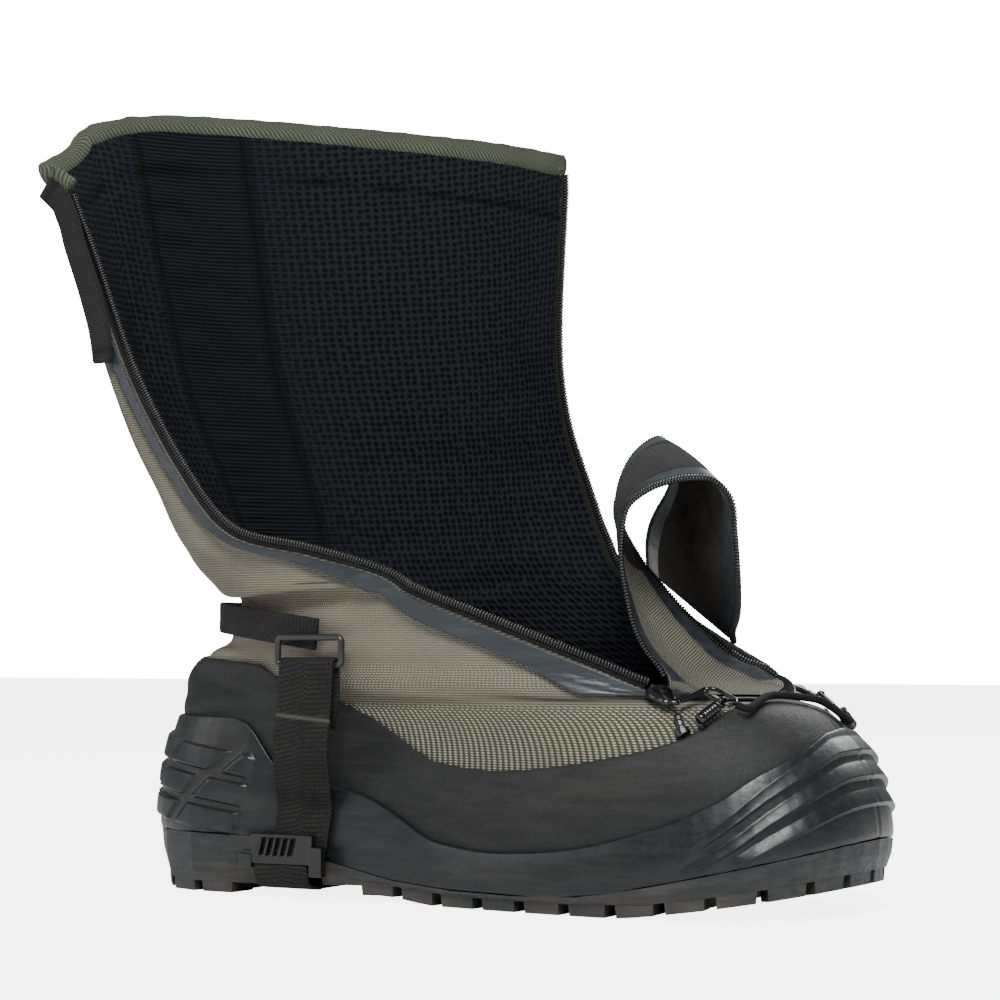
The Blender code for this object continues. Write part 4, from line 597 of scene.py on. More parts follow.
def makeUpper():
    levels = np.concatenate([np.linspace(0.0, crotchLevel, 40),
                             np.linspace(crotchLevel, topLevel, upperLook["rows"])[1:]])
    grid, normals = upperGrid(levels)
    column, level = np.arange(columns + 1)[None] / columns, levels[:, None]
    side = np.where(column < 0.5, column, 1 - column) * 2  # 0 at the zips, 1 at the back
    loose = (np.clip((level - 6.2) / 2.5, 0, 1) * np.clip(side / 0.14, 0, 1)
             * np.clip((topLevel - level) / 0.6, 0, 1))
    ankle = bump(level, upperLook["ankle"], 1.7) * np.clip((side - 0.1) / 0.3, 0, 1)
    folds = 0.5 + 0.5 * rumple(column * 34 + level * 0.9, level * 2.2 + column * 9, 0.4)
    creases = 0.5 + 0.5 * np.sin(level * 6.5 + 5 * column)
    gather = ((0.5 + 0.5 * np.sin(level * 21 + column * 30)) * bump(column, 0.60, 0.028)
              * np.clip((level - 9) / 2, 0, 1))
    sink = upperLook["folds"] * (0.8 * loose * folds + 0.9 * ankle * creases + 0.8 * gather)
    grid = grid - normals * sink[..., None]
    tone = np.clip(bump(level, 8.2, 2.6) * (0.25 + 0.75 * side)
                   + 0.35 * bump(level, 12.0, 1.5) * (column < 0.5), 0, 1)
    run = np.pad(np.linalg.norm(np.diff(grid, axis=0), axis=2), ((1, 0), (0, 0))).cumsum(0)
    drop = run[-1:] - run  # below the collar, along the cloth
    seam = 0.6 * bump(column, 0.5, 0.004) * (level > 9) + 0.35 * bump(drop, upperLook["hem"], 0.0007)
    gridObject("upperCloth", grid, olive, "upper", closed=True, tone=tone, seam=seam,
               upright=True)
    ribbed = np.clip(bump(column, 0.625, 0.055) * 1.6, 0, 1) * (level > 8.8)
    band = upperLook["band"]
    sides = (bump(column, 0.575, 0.0035) + bump(column, 0.675, 0.0035)) * (level > 9)
    seams = 0.9 * bump(drop, band, 0.0011) + 0.8 * sides
    puff = upperLook["puff"] * (bump(drop, band / 2, 0.008) - 1.2 * bump(drop, band, 0.0016))
    inner = grid - normals * (wall * 0.9 + upperLook["liningGap"] + puff[..., None])
    gridObject("upperLining", inner, lining, closed=True, tone=ribbed,
               seam=np.clip(seams, 0, 1), turned=True, upright=True)


makeUpper()
print("upper made")


# rand: the upper's face lifted, up to a side view's edge found column by column
randEdge = [
    (0.874, 1.020), (0.864, 0.955), (0.838, 0.890), (0.822, 0.790), (0.780, 0.745), (0.719, 0.710),
    (0.635, 0.650), (0.562, 0.630), (0.513, 0.645), (0.470, 0.690), (0.429, 0.725), (0.394, 0.740),
    (0.377, 0.790), (0.372, 0.900), (0.368, 0.990), (0.355, 1.030), (0.319, 1.036), (0.223, 1.040),
    (0.183, 1.046), (0.120, 1.050), (0.000, 1.050)]
randLook = {"lift": 0.0023, "rows": 46, "wall": 0.0014, "wrinkle": 0.0005, "start": 0.12,
            "roll": 0.0007}


def makeRand():
    start = randLook["start"]
    levels = np.linspace(start, 8.0, 320)
    grid, normals = upperGrid(levels)
    edge = np.array(randEdge)[::-1]
    share = (grid[..., 0] + setback) / soleLength
    limit = levelHeight(np.interp(share, edge[:, 0], edge[:, 1], right=3.0))
    above = grid[..., 2] > limit
    first = np.where(above.any(0), above.argmax(0), len(levels) - 1)
    top = levels[np.maximum(first, 1)]
    bell = np.array([1, 2, 3, 4, 3, 2, 1]) / 16.0
    top = np.convolve(np.concatenate([top[-4:-1], top, top[1:4]]), bell, "valid")
    t = np.linspace(0.0, 1.0, randLook["rows"])[:, None]
    at = (top[None] - start) * t / (levels[1] - levels[0])
    low = np.clip(at.astype(int), 0, len(levels) - 2)
    part = (at - low)[..., None]
    pick = np.arange(columns + 1)[None] + 0 * low
    points, away = (values[low, pick] * (1 - part) + values[low + 1, pick] * part
                    for values in (grid, normals))
    share = (points[..., 0] + setback) / soleLength
    crease = bump(share, 0.78, 0.05) * rumple(share * 160, t * 9 + points[..., 1] * 60, 0.7)
    heel = bump(share, 0.2, 0.16) * rumple(share * 70, t * 14, 2.0)
    lift = (randLook["lift"] + randLook["wrinkle"] * (crease + 0.6 * heel)
            - randLook["roll"] * np.clip((t - 0.97) / 0.03, 0, 1))
    seam = 0.7 * bump(t * 46, 43.6, 0.5)
    tone = 0.25 * bump(share, 0.72, 0.18) * bump(t, 0.62, 0.25)
    obj = gridObject("randWall", points + away * lift[..., None], randCloth, "rand",
                     closed=True, tone=tone, seam=seam)
    thicken(obj, randLook["wall"])


makeRand()


# shell: outsole edge to a level of the upper, swollen, with ribs and blocks raised on it
shellTop = [
    (0.00, 3.0), (0.05, 2.8), (0.10, 2.1), (0.15, 1.45), (0.185, 0.88), (0.23, 0.57), (0.31, 0.31),
    (0.37, 0.20), (0.445, 0.13), (0.49, 0.14), (0.535, 0.20), (0.57, 0.45), (0.61, 0.73),
    (0.635, 0.85), (0.70, 1.05), (0.74, 1.35), (0.765, 2.2), (0.79, 3.8), (0.86, 4.0), (1.0, 4.1)]
toeRibs = [
    [(-0.235, 0.30), (-0.200, 0.56), (-0.150, 0.74), (-0.100, 0.84), (-0.050, 0.86), (0.0, 0.84)],
    [(-0.240, 0.08), (-0.190, 0.30), (-0.140, 0.50), (-0.090, 0.61), (-0.045, 0.63), (0.0, 0.62)],
    [(-0.195, 0.05), (-0.140, 0.24), (-0.090, 0.35), (-0.045, 0.38), (0.0, 0.38)]]
heelBlocks = [
    [(-0.14, 0.13, -0.13, 0.11), (0.18, 0.47, 0.17, 0.41), (0.54, 0.84, 0.48, 0.73),
     (0.90, 0.96, 0.80, 0.94)],
    [(-0.12, 0.11, -0.10, 0.08), (0.16, 0.39, 0.14, 0.33), (0.45, 0.68, 0.39, 0.60),
     (0.74, 0.94, 0.66, 0.92)],
    [(-0.10, 0.09, -0.08, 0.06), (0.14, 0.31, 0.12, 0.26), (0.37, 0.58, 0.32, 0.50),
     (0.64, 0.92, 0.56, 0.90)]]
shellLook = {"edge": 0.0022, "swell": 0.28, "rows": 110, "count": 620, "rib": 0.00198,
             "ribReach": 0.0075, "skirt": 0.004}
blockLook = {"height": 0.0021, "top": 0.075, "step": 0.0130, "tall": 0.0098, "sag": 0.14,
             "reach": 0.100, "side": 0.0013}


def ringNormals(flat):
    along = np.roll(flat, -1, 0) - np.roll(flat, 1, 0)
    normal = unit(np.stack([along[:, 1], -along[:, 0]], 1))
    return normal if (normal * (flat - flat.mean(0))).sum() > 0 else -normal


# ribs rise by a steep lower side and a long upper side, along a line over the toe's stations
def ribRelief(t, station, height):
    relief = 0.0
    for rib in toeRibs:
        keys = np.array(rib)
        line = smooth(np.column_stack([np.linspace(0, 1, len(keys)), keys]), np.linspace(0, 1, 60))
        across = t - np.interp(-station, line[:, 0], line[:, 1], left=-9.0)
        across = across * height / shellLook["ribReach"]
        shape = np.clip((across + 0.5) / 0.12, 0, 1) * np.clip((0.55 - across) / 0.9, 0, 1) ** 0.8
        relief = relief + shape * np.clip((-keys[0, 0] - station) / 0.03, 0, 1)
    return shellLook["rib"] * relief


# blocks rise inside slanted four-sided fields, each row a step lower and mirrored about the heel
def blockRelief(height, reach):
    relief, tall = 0.0, blockLook["tall"]
    share = reach / blockLook["reach"]
    for row, spans in enumerate(heelBlocks):
        top = blockLook["top"] - row * blockLook["step"] - blockLook["sag"] * np.abs(reach)
        down = (top - height) / tall
        for span in spans:
            for mirror in ((1,) if span[0] < 0 else (-1, 1)):
                start = span[0] + (span[2] - span[0]) * down
                stop = span[1] + (span[3] - span[1]) * down
                wide = np.minimum(mirror * share - start, stop - mirror * share)
                inside = np.minimum(wide * blockLook["reach"], np.minimum(down, 1 - down) * tall)
                edge = np.clip(inside / blockLook["side"] + 0.45, 0, 1)
                relief = relief + edge * edge * (3 - 2 * edge)
    return blockLook["height"] * relief


def makeShell():
    count = shellLook["count"]
    column = np.linspace(0, columns, count + 1)
    station = np.interp(column, np.arange(columns + 1), stations)
    level = np.interp(station, *np.array(shellTop).T)
    bell = np.hanning(19)[1:-1] / np.hanning(19).sum()
    level = np.convolve(np.concatenate([level[-9:-1], level, level[1:9]]), bell, "valid")
    here, low, high = (upperAt(np.maximum(level + step, 0.0), column) for step in (0.0, -0.1, 0.1))
    along = np.gradient(here, axis=0)
    along[0] = along[-1] = here[1] - here[-2]
    out = unit(np.cross(high - low, along))
    lift = randLook["lift"] + 0.0003
    edge = here + out * (lift + shellLook["edge"])
    flat = resample(column, np.arange(columns + 1), ring[:, :2])
    outward = ringNormals(flat[:-1])
    outward = np.concatenate([outward, outward[:1]])
    bottom = np.column_stack([flat, soleHeights(flat[:, 0])[1] + 0.0003])
    t = np.linspace(0.0, 1.0, shellLook["rows"])[:, None]
    rise = t[..., None]
    lean = np.linalg.norm(edge[:, :2] - bottom[:, :2], axis=1)[None, :, None]
    swell = shellLook["swell"] * lean * np.sin(np.pi * rise) ** 0.8
    face = bottom * (1 - rise) + edge * rise + np.column_stack([outward, 0 * column]) * swell
    normals = gridNormals(face, True)
    near = column < columns / 2
    reach = (1.0 - station) * runOf(flat)[-1] / 2 * np.where(near, -1, 1)
    ribs = ribRelief(t, station, np.linalg.norm(edge[0] - bottom[0]))
    blocks = blockRelief(face[..., 2], reach)
    relief = np.where(station < 0.3, ribs, 0.0) + np.where(station > 0.7, blocks, 0.0)
    groove = 0.0004 * bump(t, 0.0, 0.03) + 0.0006 * bump(station, 0.0, 0.004) * (t < 0.75)
    face = face + normals * (relief - groove)[..., None]
    channel = (np.clip(1 - relief / 0.0014, 0, 1) * (station > 0.78)
               * bump(face[..., 2], 0.055, 0.022))
    ridge = 0.25 * bump(station, 0.40, 0.10) * bump(t, 0.45, 0.18) * near
    tone = np.pad(np.clip(0.30 * channel + ridge, 0, 1), ((1, 6), (0, 0)))
    lip = [edge - out * deep + np.array([0, 0, 0.0004]) * np.sin(np.pi * deep / shellLook["edge"])
           for deep in (0.0007, 0.0015, 0.0022)]
    inside = [upperAt(level * share, column) + out * lift * 0.9 for share in (0.8, 0.4, 0.05)]
    skirt = bottom - np.column_stack([outward * shellLook["skirt"], 0 * column + 0.0003])
    gridObject("shellRubberWall", np.concatenate([skirt[None], face, lip, inside]), shellRubber,
               "shell", closed=True, tone=tone)


makeShell()
print("rand and shell made")


# search tree of the upper's face for what lies on it
def surfaceTree():
    grid, _ = upperGrid(np.concatenate([np.linspace(0, 8, 90), np.linspace(8, topLevel, 60)[1:]]))
    quads = gridQuads(*grid.shape[:2])
    return BVHTree.FromPolygons(grid.reshape(-1, 3).tolist(), quads.tolist())


tree = surfaceTree()


def conform(points, lift):
    found = [tree.find_nearest(Vector(p)) for p in points]
    normals = np.array([f[1] for f in found])
    return np.array([f[0] for f in found]) + normals * lift, normals


def wallDistance(side, x, z):
    hit = tree.ray_cast(Vector((x, side * ballWidth, z)), Vector((0.0, -side, 0.0)))
    return abs(hit[0].y)


def strapProfile(width, height, across=9):  # flat strap with rounded edges
    w, h = width / 2, height / 2
    flat = np.linspace(-w + h, w - h, across)
    turn = np.linspace(-np.pi / 2, np.pi / 2, 5)
    right = np.stack([w - h + np.cos(turn) * h, np.sin(turn) * h], 1)
    low, high = np.stack([flat, 0 * flat - h], 1), np.stack([flat[::-1], 0 * flat + h], 1)
    return np.concatenate([low[:-1], right, high[1:-1], -right])


def laidStrip(name, path, lift, profile, *rest, **more):  # strap swept along a path on the upper
    laid, normals = conform(path, lift)
    sweep(name, laid, np.cross(normals, np.gradient(laid, axis=0)), profile, *rest, **more)


# binding: a roll along the collar's top row, pinched by gathers
bindingLook = {"height": 0.0110, "wall": 0.0046, "gather": 0.17, "count": 420, "pitch": 0.0065}


def makeBinding():
    place = np.linspace(0, columns, bindingLook["count"])
    row, below = (upperAt(0 * place + level, place) for level in (topLevel, topLevel - 0.3))
    along = unit(np.gradient(row, axis=0))
    rise = unit(square(row - below, along))
    path = (row + rise * (bindingLook["height"] / 2 - 0.0012)
            - np.cross(rise, along) * wall / 2)
    run = runOf(path)
    gathers = np.clip(bump(place / columns, 0.50, 0.10) + 0.35, 0, 1)
    wave = 0.5 + 0.5 * np.sin(run / bindingLook["pitch"] * 2 + np.sin(run * 190))
    profile = roundProfile(bindingLook["height"], bindingLook["wall"], 22)
    sweep("bindingRoll", path, rise, profile, twill, "binding", "collar_binding",
          scale=1.02 - bindingLook["gather"] * gathers * wave)


makeBinding()


# folded strip at the collar's outer end
flapPath = [(-0.124, -0.88, 1.815), (-0.096, -0.90, 1.783), (-0.075, -0.91, 1.717),
            (-0.046, -0.92, 1.638), (-0.023, -0.93, 1.566), (-0.014, -0.94, 1.520)]
stitch = np.clip(bump(np.arange(60), 56, 1.0) + bump(np.arange(60), 3, 1.0), 0, 1)
laidStrip("collarFlap", smoothPath(tablePoints(flapPath), 60), 0.0044,
          strapProfile(0.012, 0.0024), darkCloth, "flap", "collar_tab", seam=stitch)


# zip tapes: a strip beside each shaft edge, laid on the upper's face
tapeShown = [(0.0, 1.0), (0.25, 0.80), (0.40, 0.50), (0.52, 0.28), (1.0, 0.28)]
tapeLook = {"width": 0.017, "spread": 0.35, "flare": 0.6, "wall": 0.0008, "rows": 170,
            "across": 18, "wrinkle": 0.0005, "inset": 0.0006, "lift": 0.0021}


def makeTape(label, side):
    levels = np.append(np.linspace(6.0, 15.9, tapeLook["rows"]), topLevel)
    grid, normals = upperGrid(levels)
    if side > 0:
        grid, normals = grid[:, ::-1], normals[:, ::-1]
    along = runOf(grid[:-1, 0])
    width = np.interp(along / along[-1], *np.array(tapeShown).T) * tapeLook["width"]
    width = width * (1 + tapeLook["spread"] * np.clip(1 - along / 0.20, 0, 1))
    width = width * (1 + tapeLook["flare"] * np.clip(1 - along / 0.07, 0, 1))
    across = np.linspace(0, 1, tapeLook["across"])
    lines = []
    for line, face, w in zip(grid, normals, width):
        at, run = tapeLook["inset"] + w * across, runOf(line)
        lines.append(resample(at, run, line) + resample(at, run, face) * tapeLook["lift"])
    sheet, along = np.array(lines), along[:, None]
    crumple = np.abs(rumple(along * 420, across * 5, 0.3)) * np.clip(1 - along / 0.26, 0, 1)
    crumple = crumple * np.sin(np.pi * across) * tapeLook["wrinkle"] * -side
    sheet = sheet + gridNormals(sheet) * crumple[..., None]
    seam = bump(across, 0.88, 0.04) * (0.5 + 0.5 * np.sign(np.sin(along * 1900)))
    obj = gridObject("zipTape_" + label, sheet, coated, "zip_tape_" + label,
                     seam=seam, turned=side > 0)
    thicken(obj, tapeLook["wall"])


for side, label in both:
    makeTape(label, side)
print("binding and tapes made")


# zip coils: one hooked tooth repeated along the edge, on a cord of tape
coilLook = {"pitch": 0.00135, "width": 0.0042, "wall": 0.0026, "wire": 0.00042, "flat": 0.00050}


# each tooth is a flattened ring bent round the edge: cosine across, sine up, a small slant along
def makeCoil(name, node, path, inward):
    run = runOf(path)
    teeth = max(int(run[-1] / coilLook["pitch"]), 2)
    middle = np.linspace(0.0, run[-1], teeth)
    at = resample(middle, run, path)
    tangent, side, up = pathFrames(at, resample(middle, run, inward))
    around = np.linspace(-0.9 * np.pi, 0.9 * np.pi, 9)
    spine = np.stack([np.cos(around) * -0.40, np.sin(around) * 0.36, 0.12 * np.sin(around)], 1)
    spine *= (coilLook["width"], coilLook["wall"] * 1.05, coilLook["pitch"])
    thick = np.linspace(0, 2 * np.pi, 6)[:-1, None]
    local = []
    for k, point in enumerate(spine):
        radial = np.array([-np.cos(around[k]), np.sin(around[k]), 0.0])
        wide = coilLook["flat"] * (1.25 if 3 <= k <= 5 else 1.0)
        local.append(point + radial * np.cos(thick) * coilLook["wire"]
                     + np.array([0, 0, 1.0]) * np.sin(thick) * wide)
    local = np.concatenate(local)
    points = (at[:, None] + side[:, None] * local[None, :, :1] + up[:, None] * local[None, :, 1:2]
              + tangent[:, None] * local[None, :, 2:])
    quads = [(k * 5 + j, k * 5 + (j + 1) % 5, (k + 1) * 5 + (j + 1) % 5, (k + 1) * 5 + j)
             for k in range(len(spine) - 1) for j in range(5)]
    caps = [np.arange(5)[::-1], np.arange(5) + len(local) - 5]
    starts = np.arange(teeth)[:, None, None] * len(local)
    faces = [(np.array(part)[None] + starts).reshape(-1, len(part[0])).tolist()
             for part in (quads, caps)]
    mesh = bpy.data.meshes.new(name)
    mesh.from_pydata(points.reshape(-1, 3).tolist(), [], faces[0] + faces[1])
    mesh.materials.append(coilNylon)
    mesh.shade_smooth()
    finishPiece(addObject(name, mesh), node)
    sweep(name + "Core", path + inward * 0.0016, inward, strapProfile(0.0058, 0.0010, 4),
          darkCloth, "zip_coil")


# edge of the shaft between two levels, drawn out to the coil's middle
def shaftCoilPath(side):
    levels = np.linspace(6.3, 15.95, 300)
    column = 0.0 if side < 0 else float(columns)
    edge, inner = (upperAt(levels, np.full(300, at)) for at in (column, column - side * 1.5))
    tangent = unit(np.gradient(edge, axis=0))
    inward = unit(square(inner - edge, tangent))
    normal = np.cross(inward, tangent) * side
    return edge - inward * (coilLook["width"] / 2 + 0.0012) - normal * wall / 2, inward


# tongue: root line on the vamp, then edge to edge with a swollen middle
tongueRows = [
    (0.766, -0.46, 1.034, 0.840, 0.37, 1.024, 0.10), (0.748, -0.48, 1.060, 0.828, 0.34, 1.034, 0.14),
    (0.734, -0.50, 1.090, 0.802, 0.30, 1.046, 0.16), (0.722, -0.53, 1.145, 0.762, 0.23, 1.083, 0.16),
    (0.716, -0.56, 1.210, 0.713, 0.14, 1.148, 0.14), (0.725, -0.58, 1.269, 0.684, 0.02, 1.207, 0.12),
    (0.745, -0.58, 1.293, 0.655, 0.06, 1.269, 0.10), (0.774, -0.58, 1.307, 0.649, 0.19, 1.324, 0.06),
    (0.809, -0.56, 1.314, 0.663, 0.31, 1.369, 0.04), (0.838, -0.55, 1.308, 0.684, 0.42, 1.388, 0.02),
    (0.857, -0.53, 1.283, 0.694, 0.52, 1.366, 0.01), (0.860, -0.50, 1.234, 0.682, 0.62, 1.316, 0.00),
    (0.856, -0.42, 1.180, 0.652, 0.72, 1.272, 0.00), (0.832, -0.14, 1.126, 0.632, 0.84, 1.238, 0.00),
    (0.798, 0.18, 1.098, 0.620, 0.97, 1.206, 0.00), (0.784, 0.36, 1.086, 0.616, 1.03, 1.190, 0.00)]
tongueLook = {"rows": 150, "across": 49, "wall": 0.002, "fold": 0.0006}


def rootLine(across):  # down the one zip's edge to the crotch and up the other's
    share = np.linspace(0, 6, across)
    level = np.interp(share, np.arange(7), [0.98, 0.6, 0.25, 0.0, 0.25, 0.6, 0.98])
    return upperAt(crotchLevel + level, np.where(share <= 3, 0, columns))


def tongueGrid(rows, across):
    table = np.array(tongueRows, float)
    outerEdge, innerEdge = tablePoints(table[:, 0:3]), tablePoints(table[:, 3:6])
    share = np.linspace(0.0, 1.0, across)[None, :, None]
    grid = outerEdge[:, None] * (1 - share) + innerEdge[:, None] * share
    width = np.linalg.norm(innerEdge - outerEdge, axis=1)[:, None, None]
    grid = grid + gridNormals(grid) * width * table[:, 6, None, None] * np.sin(np.pi * share)
    root = rootLine(across) + np.array([-1.2, 0.0, 1.9]) * tongueLook["wall"] / 2
    grid = np.concatenate([root[None], grid])
    keys = runOf(grid.mean(1))
    table = np.column_stack([keys, grid.reshape(len(grid), -1)])
    return smooth(table, np.linspace(0.0, keys[-1], rows)).reshape(rows, across, 3)


def makeTongue():
    grid = tongueGrid(tongueLook["rows"], tongueLook["across"])
    normal = gridNormals(grid)
    share = np.linspace(0, 1, tongueLook["across"])[None]
    run = np.linspace(0, 1, tongueLook["rows"])[:, None]
    fold = rumple(run * 60, share * 7, 1.0) * np.sin(np.pi * share) * np.clip(run / 0.1, 0, 1)
    fold = tongueLook["fold"] * np.abs(fold)
    face = grid - normal * (tongueLook["wall"] / 2 - fold * 0.5)[..., None]
    back = grid + normal * (tongueLook["wall"] / 2 - fold * 0.3)[..., None]
    edges = np.clip(1 - np.minimum(share, 1 - share) / 0.12, 0, 1)
    crease = bump(run, 0.60 + 0.22 * share, 0.012) + bump(run, 0.80 - 0.26 * share, 0.012)
    seam = (0.9 * crease + 0.7 * bump(share, 0.13, 0.012) + 0.7 * bump(share, 0.87, 0.012)
            + 0.5 * bump(share, 0.5, 0.006) * (run > 0.6))
    front = gridObject("tongueFace", face, None, "tongue", tone=0.2 * edges, seam=seam,
                       turned=True)
    inside = gridObject("tongueBack", back, None, tone=0.3, seam=seam)
    rows, across = tongueLook["rows"] - 1, tongueLook["across"] - 1
    r = np.repeat((np.arange(rows) + 0.5) / rows, across)
    s = np.tile((np.arange(across) + 0.5) / across, rows)
    tape = (np.minimum(s, 1 - s) < 0.12) & (r > 0.05)
    # on the face, the zip edges take the coated tape, and past the crest, inside the loop, the face takes the
    # olive painted in shade (index 2)
    outward = np.where(tape, 1, np.where(r > 0.36, 2, 0))
    inward = np.where(tape, 2, np.where((r > 0.30) & (r < 0.64), 1, 0))
    for obj, cloths, pick in ((front, (olive, coated, paintedShadeOlive), outward),
                              (inside, (darkCloth, knit, coated), inward)):
        for cloth in cloths:
            obj.data.materials.append(cloth)
        obj.data.polygons.foreach_set("material_index", pick.astype(np.int32))
    for name, line, near, cloth in (("tongueRimOuter", grid[:, 0], grid[:, 1], coated),
                                    ("tongueRimInner", grid[:, -1], grid[:, -2], coated),
                                    ("tongueRimEnd", grid[-1], grid[-2], darkCloth)):
        sweep(name, line, near - line, roundProfile(0.0016, 0.0022, 8), cloth, "tongue")


def tongueCoilPath(side):
    grid = tongueGrid(200, 13)[13:]
    pick = 0 if side < 0 else -1
    edge, face = grid[:, pick], gridNormals(grid)[:, pick]
    inward = square(grid[:, 2 if side < 0 else -3] - edge, unit(np.gradient(edge, axis=0)))
    inward = unit(square(inward, face))
    return edge - inward * (coilLook["width"] / 2 + 0.0003), inward


# slate band along the tongue's root, from slider to slider over the crotch of the zips
rootLook = {"reach": 1.25, "lift": 0.0012, "width": 0.0085, "wall": 0.0012, "gusset": 0.0014}


def makeRootTape():
    rise = np.linspace(0.0, rootLook["reach"], 40)
    level = crotchLevel + np.concatenate([rise[::-1], rise[1:]])
    column = np.repeat([0.0, float(columns)], (40, 39))
    taper = np.interp(np.linspace(0, 1, 100), (0, 0.1, 0.9, 1), (0.7, 1, 1, 0.7))
    laidStrip("rootTape", smoothPath(upperAt(level, column), 100), rootLook["lift"],
              strapProfile(rootLook["width"], rootLook["wall"], 7), coated, "zip_tape", scale=taper)


# gusset between the root tape and the tongue: rows blended from the one line to the other
def makeRootGusset():
    across = tongueLook["across"]
    foot, _ = conform(rootLine(across), rootLook["lift"])
    top = tongueGrid(tongueLook["rows"], across)[2]
    blend = np.linspace(0, 1, 5)[:, None, None]
    gusset = gridObject("rootGusset", foot[None] * (1 - blend) + top[None] * blend, coated,
                        turned=True)
    thicken(gusset, rootLook["gusset"])


makeRootTape()
makeTongue()
makeRootGusset()
for side, label in both:
    makeCoil("shaftCoil_" + label, "zip_coil_shaft_" + label, *shaftCoilPath(side))
    makeCoil("tongueCoil_" + label, "zip_coil_tongue_" + label, *tongueCoilPath(side))
print("tongue and coils made")


# straps: webbing round the ankle, over the ring, down to the buckle and under the sole
strapLook = {"width": 0.028, "wall": 0.0016, "ankle": 0.014, "gap": 0.0003, "lift": 0.0035}
ringLook = {"wire": 0.003, "corner": 0.0021, "tall": 0.012}
buckleLook = {"off": 0.0030, "foot": 0.015, "top": 0.028, "deep": 0.0050, "round": 0.0006}
strapX = stationX(0.090 / soleLength)
ringX = strapX + 0.020


# height of the ring's top, and how far out the ring's middle and the sole's edge are
def strapPlaces(side):
    top = levelHeight(1.084)
    face = max(wallDistance(side, ringX + step, top - drop)
               for step in (-0.014, 0.0, 0.014) for drop in (0.0, 0.012, 0.024, 0.036))
    line = halfOutline(outerOutline if side < 0 else innerOutline, side, 90)[::-1].T
    ring = strapLook["lift"] + strapLook["wall"] + strapLook["gap"] + ringLook["wire"] / 2
    return top, face + ring, abs(np.interp(strapX, *line))


def makeAnkleStrap():
    path = []
    for turn in np.radians(np.linspace(-96.0, 96.0, 90)):
        out = Vector((-np.cos(turn), np.sin(turn), 0.0))
        middle = levelHeight(1.118) - strapLook["ankle"] * (1 - np.cos(turn)) * 0.55
        reach = 0.0
        for rise in np.linspace(-0.5, 0.5, 5) * strapLook["ankle"]:
            centre = Vector((ringX - 0.004, 0.0, middle + rise))
            hit = tree.ray_cast(centre + out * ballWidth * 2, -out)
            reach = max(reach, (hit[0] - centre).length)
        reach += strapLook["lift"] + strapLook["wall"] / 2
        path.append(Vector((ringX - 0.004, 0.0, middle)) + out * reach)
    sweep("ankleWebbing", path, np.tile((0.0, 0.0, 1.0), (90, 1)),
          strapProfile(strapLook["ankle"], strapLook["wall"]), webbing, "webbing", "ankle_strap")


# rounded rectangle of wire round the strap's two bars
def makeRing(label, side):
    top, across, _ = strapPlaces(side)
    corner, tall = ringLook["corner"], ringLook["tall"] / 2
    half = strapLook["width"] / 2 + strapLook["gap"]
    path = []
    for cx, cz, start in ((1, 1, 0), (-1, 1, 90), (-1, -1, 180), (1, -1, 270)):
        for angle in np.radians(start + np.linspace(0, 90, 7)):
            path.append((ringX + cx * half + corner * np.cos(angle), side * across,
                         top - tall + cz * (tall - corner) + corner * np.sin(angle)))
    sweep("strapRing_" + label, path, np.tile((0.0, 1.0, 0.0), (len(path), 1)),
          roundProfile(ringLook["wire"], ringLook["wire"], 14), ringPlastic, "ring",
          "strap_ring_" + label, closed=True)


def makeSideStrap(label, side):
    top, across, sole = strapPlaces(side)
    bar = top - ringLook["tall"]
    bend = ringLook["wire"] / 2 + strapLook["gap"] + strapLook["wall"] / 2
    outside = sole + buckleLook["off"] + strapLook["wall"] / 2
    turn = np.radians(np.linspace(180.0, 0.0, 13))
    path = [(ringX - 0.002, across - bend, bar - 0.026), (ringX, across - bend, bar - 0.012)]
    path += [(ringX, across + bend * np.cos(a), bar + bend * np.sin(a)) for a in turn]
    low = 0.4 * buckleLook["top"] + 0.6 * buckleLook["foot"]
    fall = [(ringX, across + bend, bar - 0.002), (ringX - 0.001, across + bend, bar - 0.018),
            (ringX - 0.003, across + bend * 0.8, bar - 0.036),
            (ringX - 0.007, (across + outside) / 2, (bar + low) / 2 - 0.012),
            (ringX - 0.010, outside, 0.038), (ringX - 0.011, outside, 0.031),
            (ringX - 0.013, outside, low)]
    path = np.concatenate([path, smoothPath(fall, 70)]) * (1, side, 1)
    run = runOf(path)
    sweep("sideWebbing_" + label, path, np.tile((1.0, 0.0, 0.0), (len(path), 1)),
          strapProfile(strapLook["width"], strapLook["wall"], 13), webbing, "webbing",
          "side_strap_" + label, seam=bump(run, run[15] + 0.021, 0.0006))


def buckleFace(side):  # how far out the back of the buckle is
    return strapPlaces(side)[2] + buckleLook["off"] + strapLook["wall"] + strapLook["gap"]


def makeUnderfoot():
    path = []
    foot = buckleLook["foot"] - strapLook["gap"]
    for side in (-1, 1):
        y = buckleFace(side) + buckleLook["deep"] / 2
        half = [(strapX, side * (y - inset), z) for inset, z in (
            (0.0, foot), (0.0, foot - 0.003), (0.002, foot - 0.008), (0.008, 0.0045),
            (0.016, 0.0045))]
        path += half if side < 0 else half[::-1]
    sweep("underfootWebbing", smoothPath(path, 90), np.tile((1.0, 0.0, 0.0), (90, 1)),
          strapProfile(strapLook["width"], strapLook["wall"], 13), webbing, "webbing",
          "underfoot_strap")


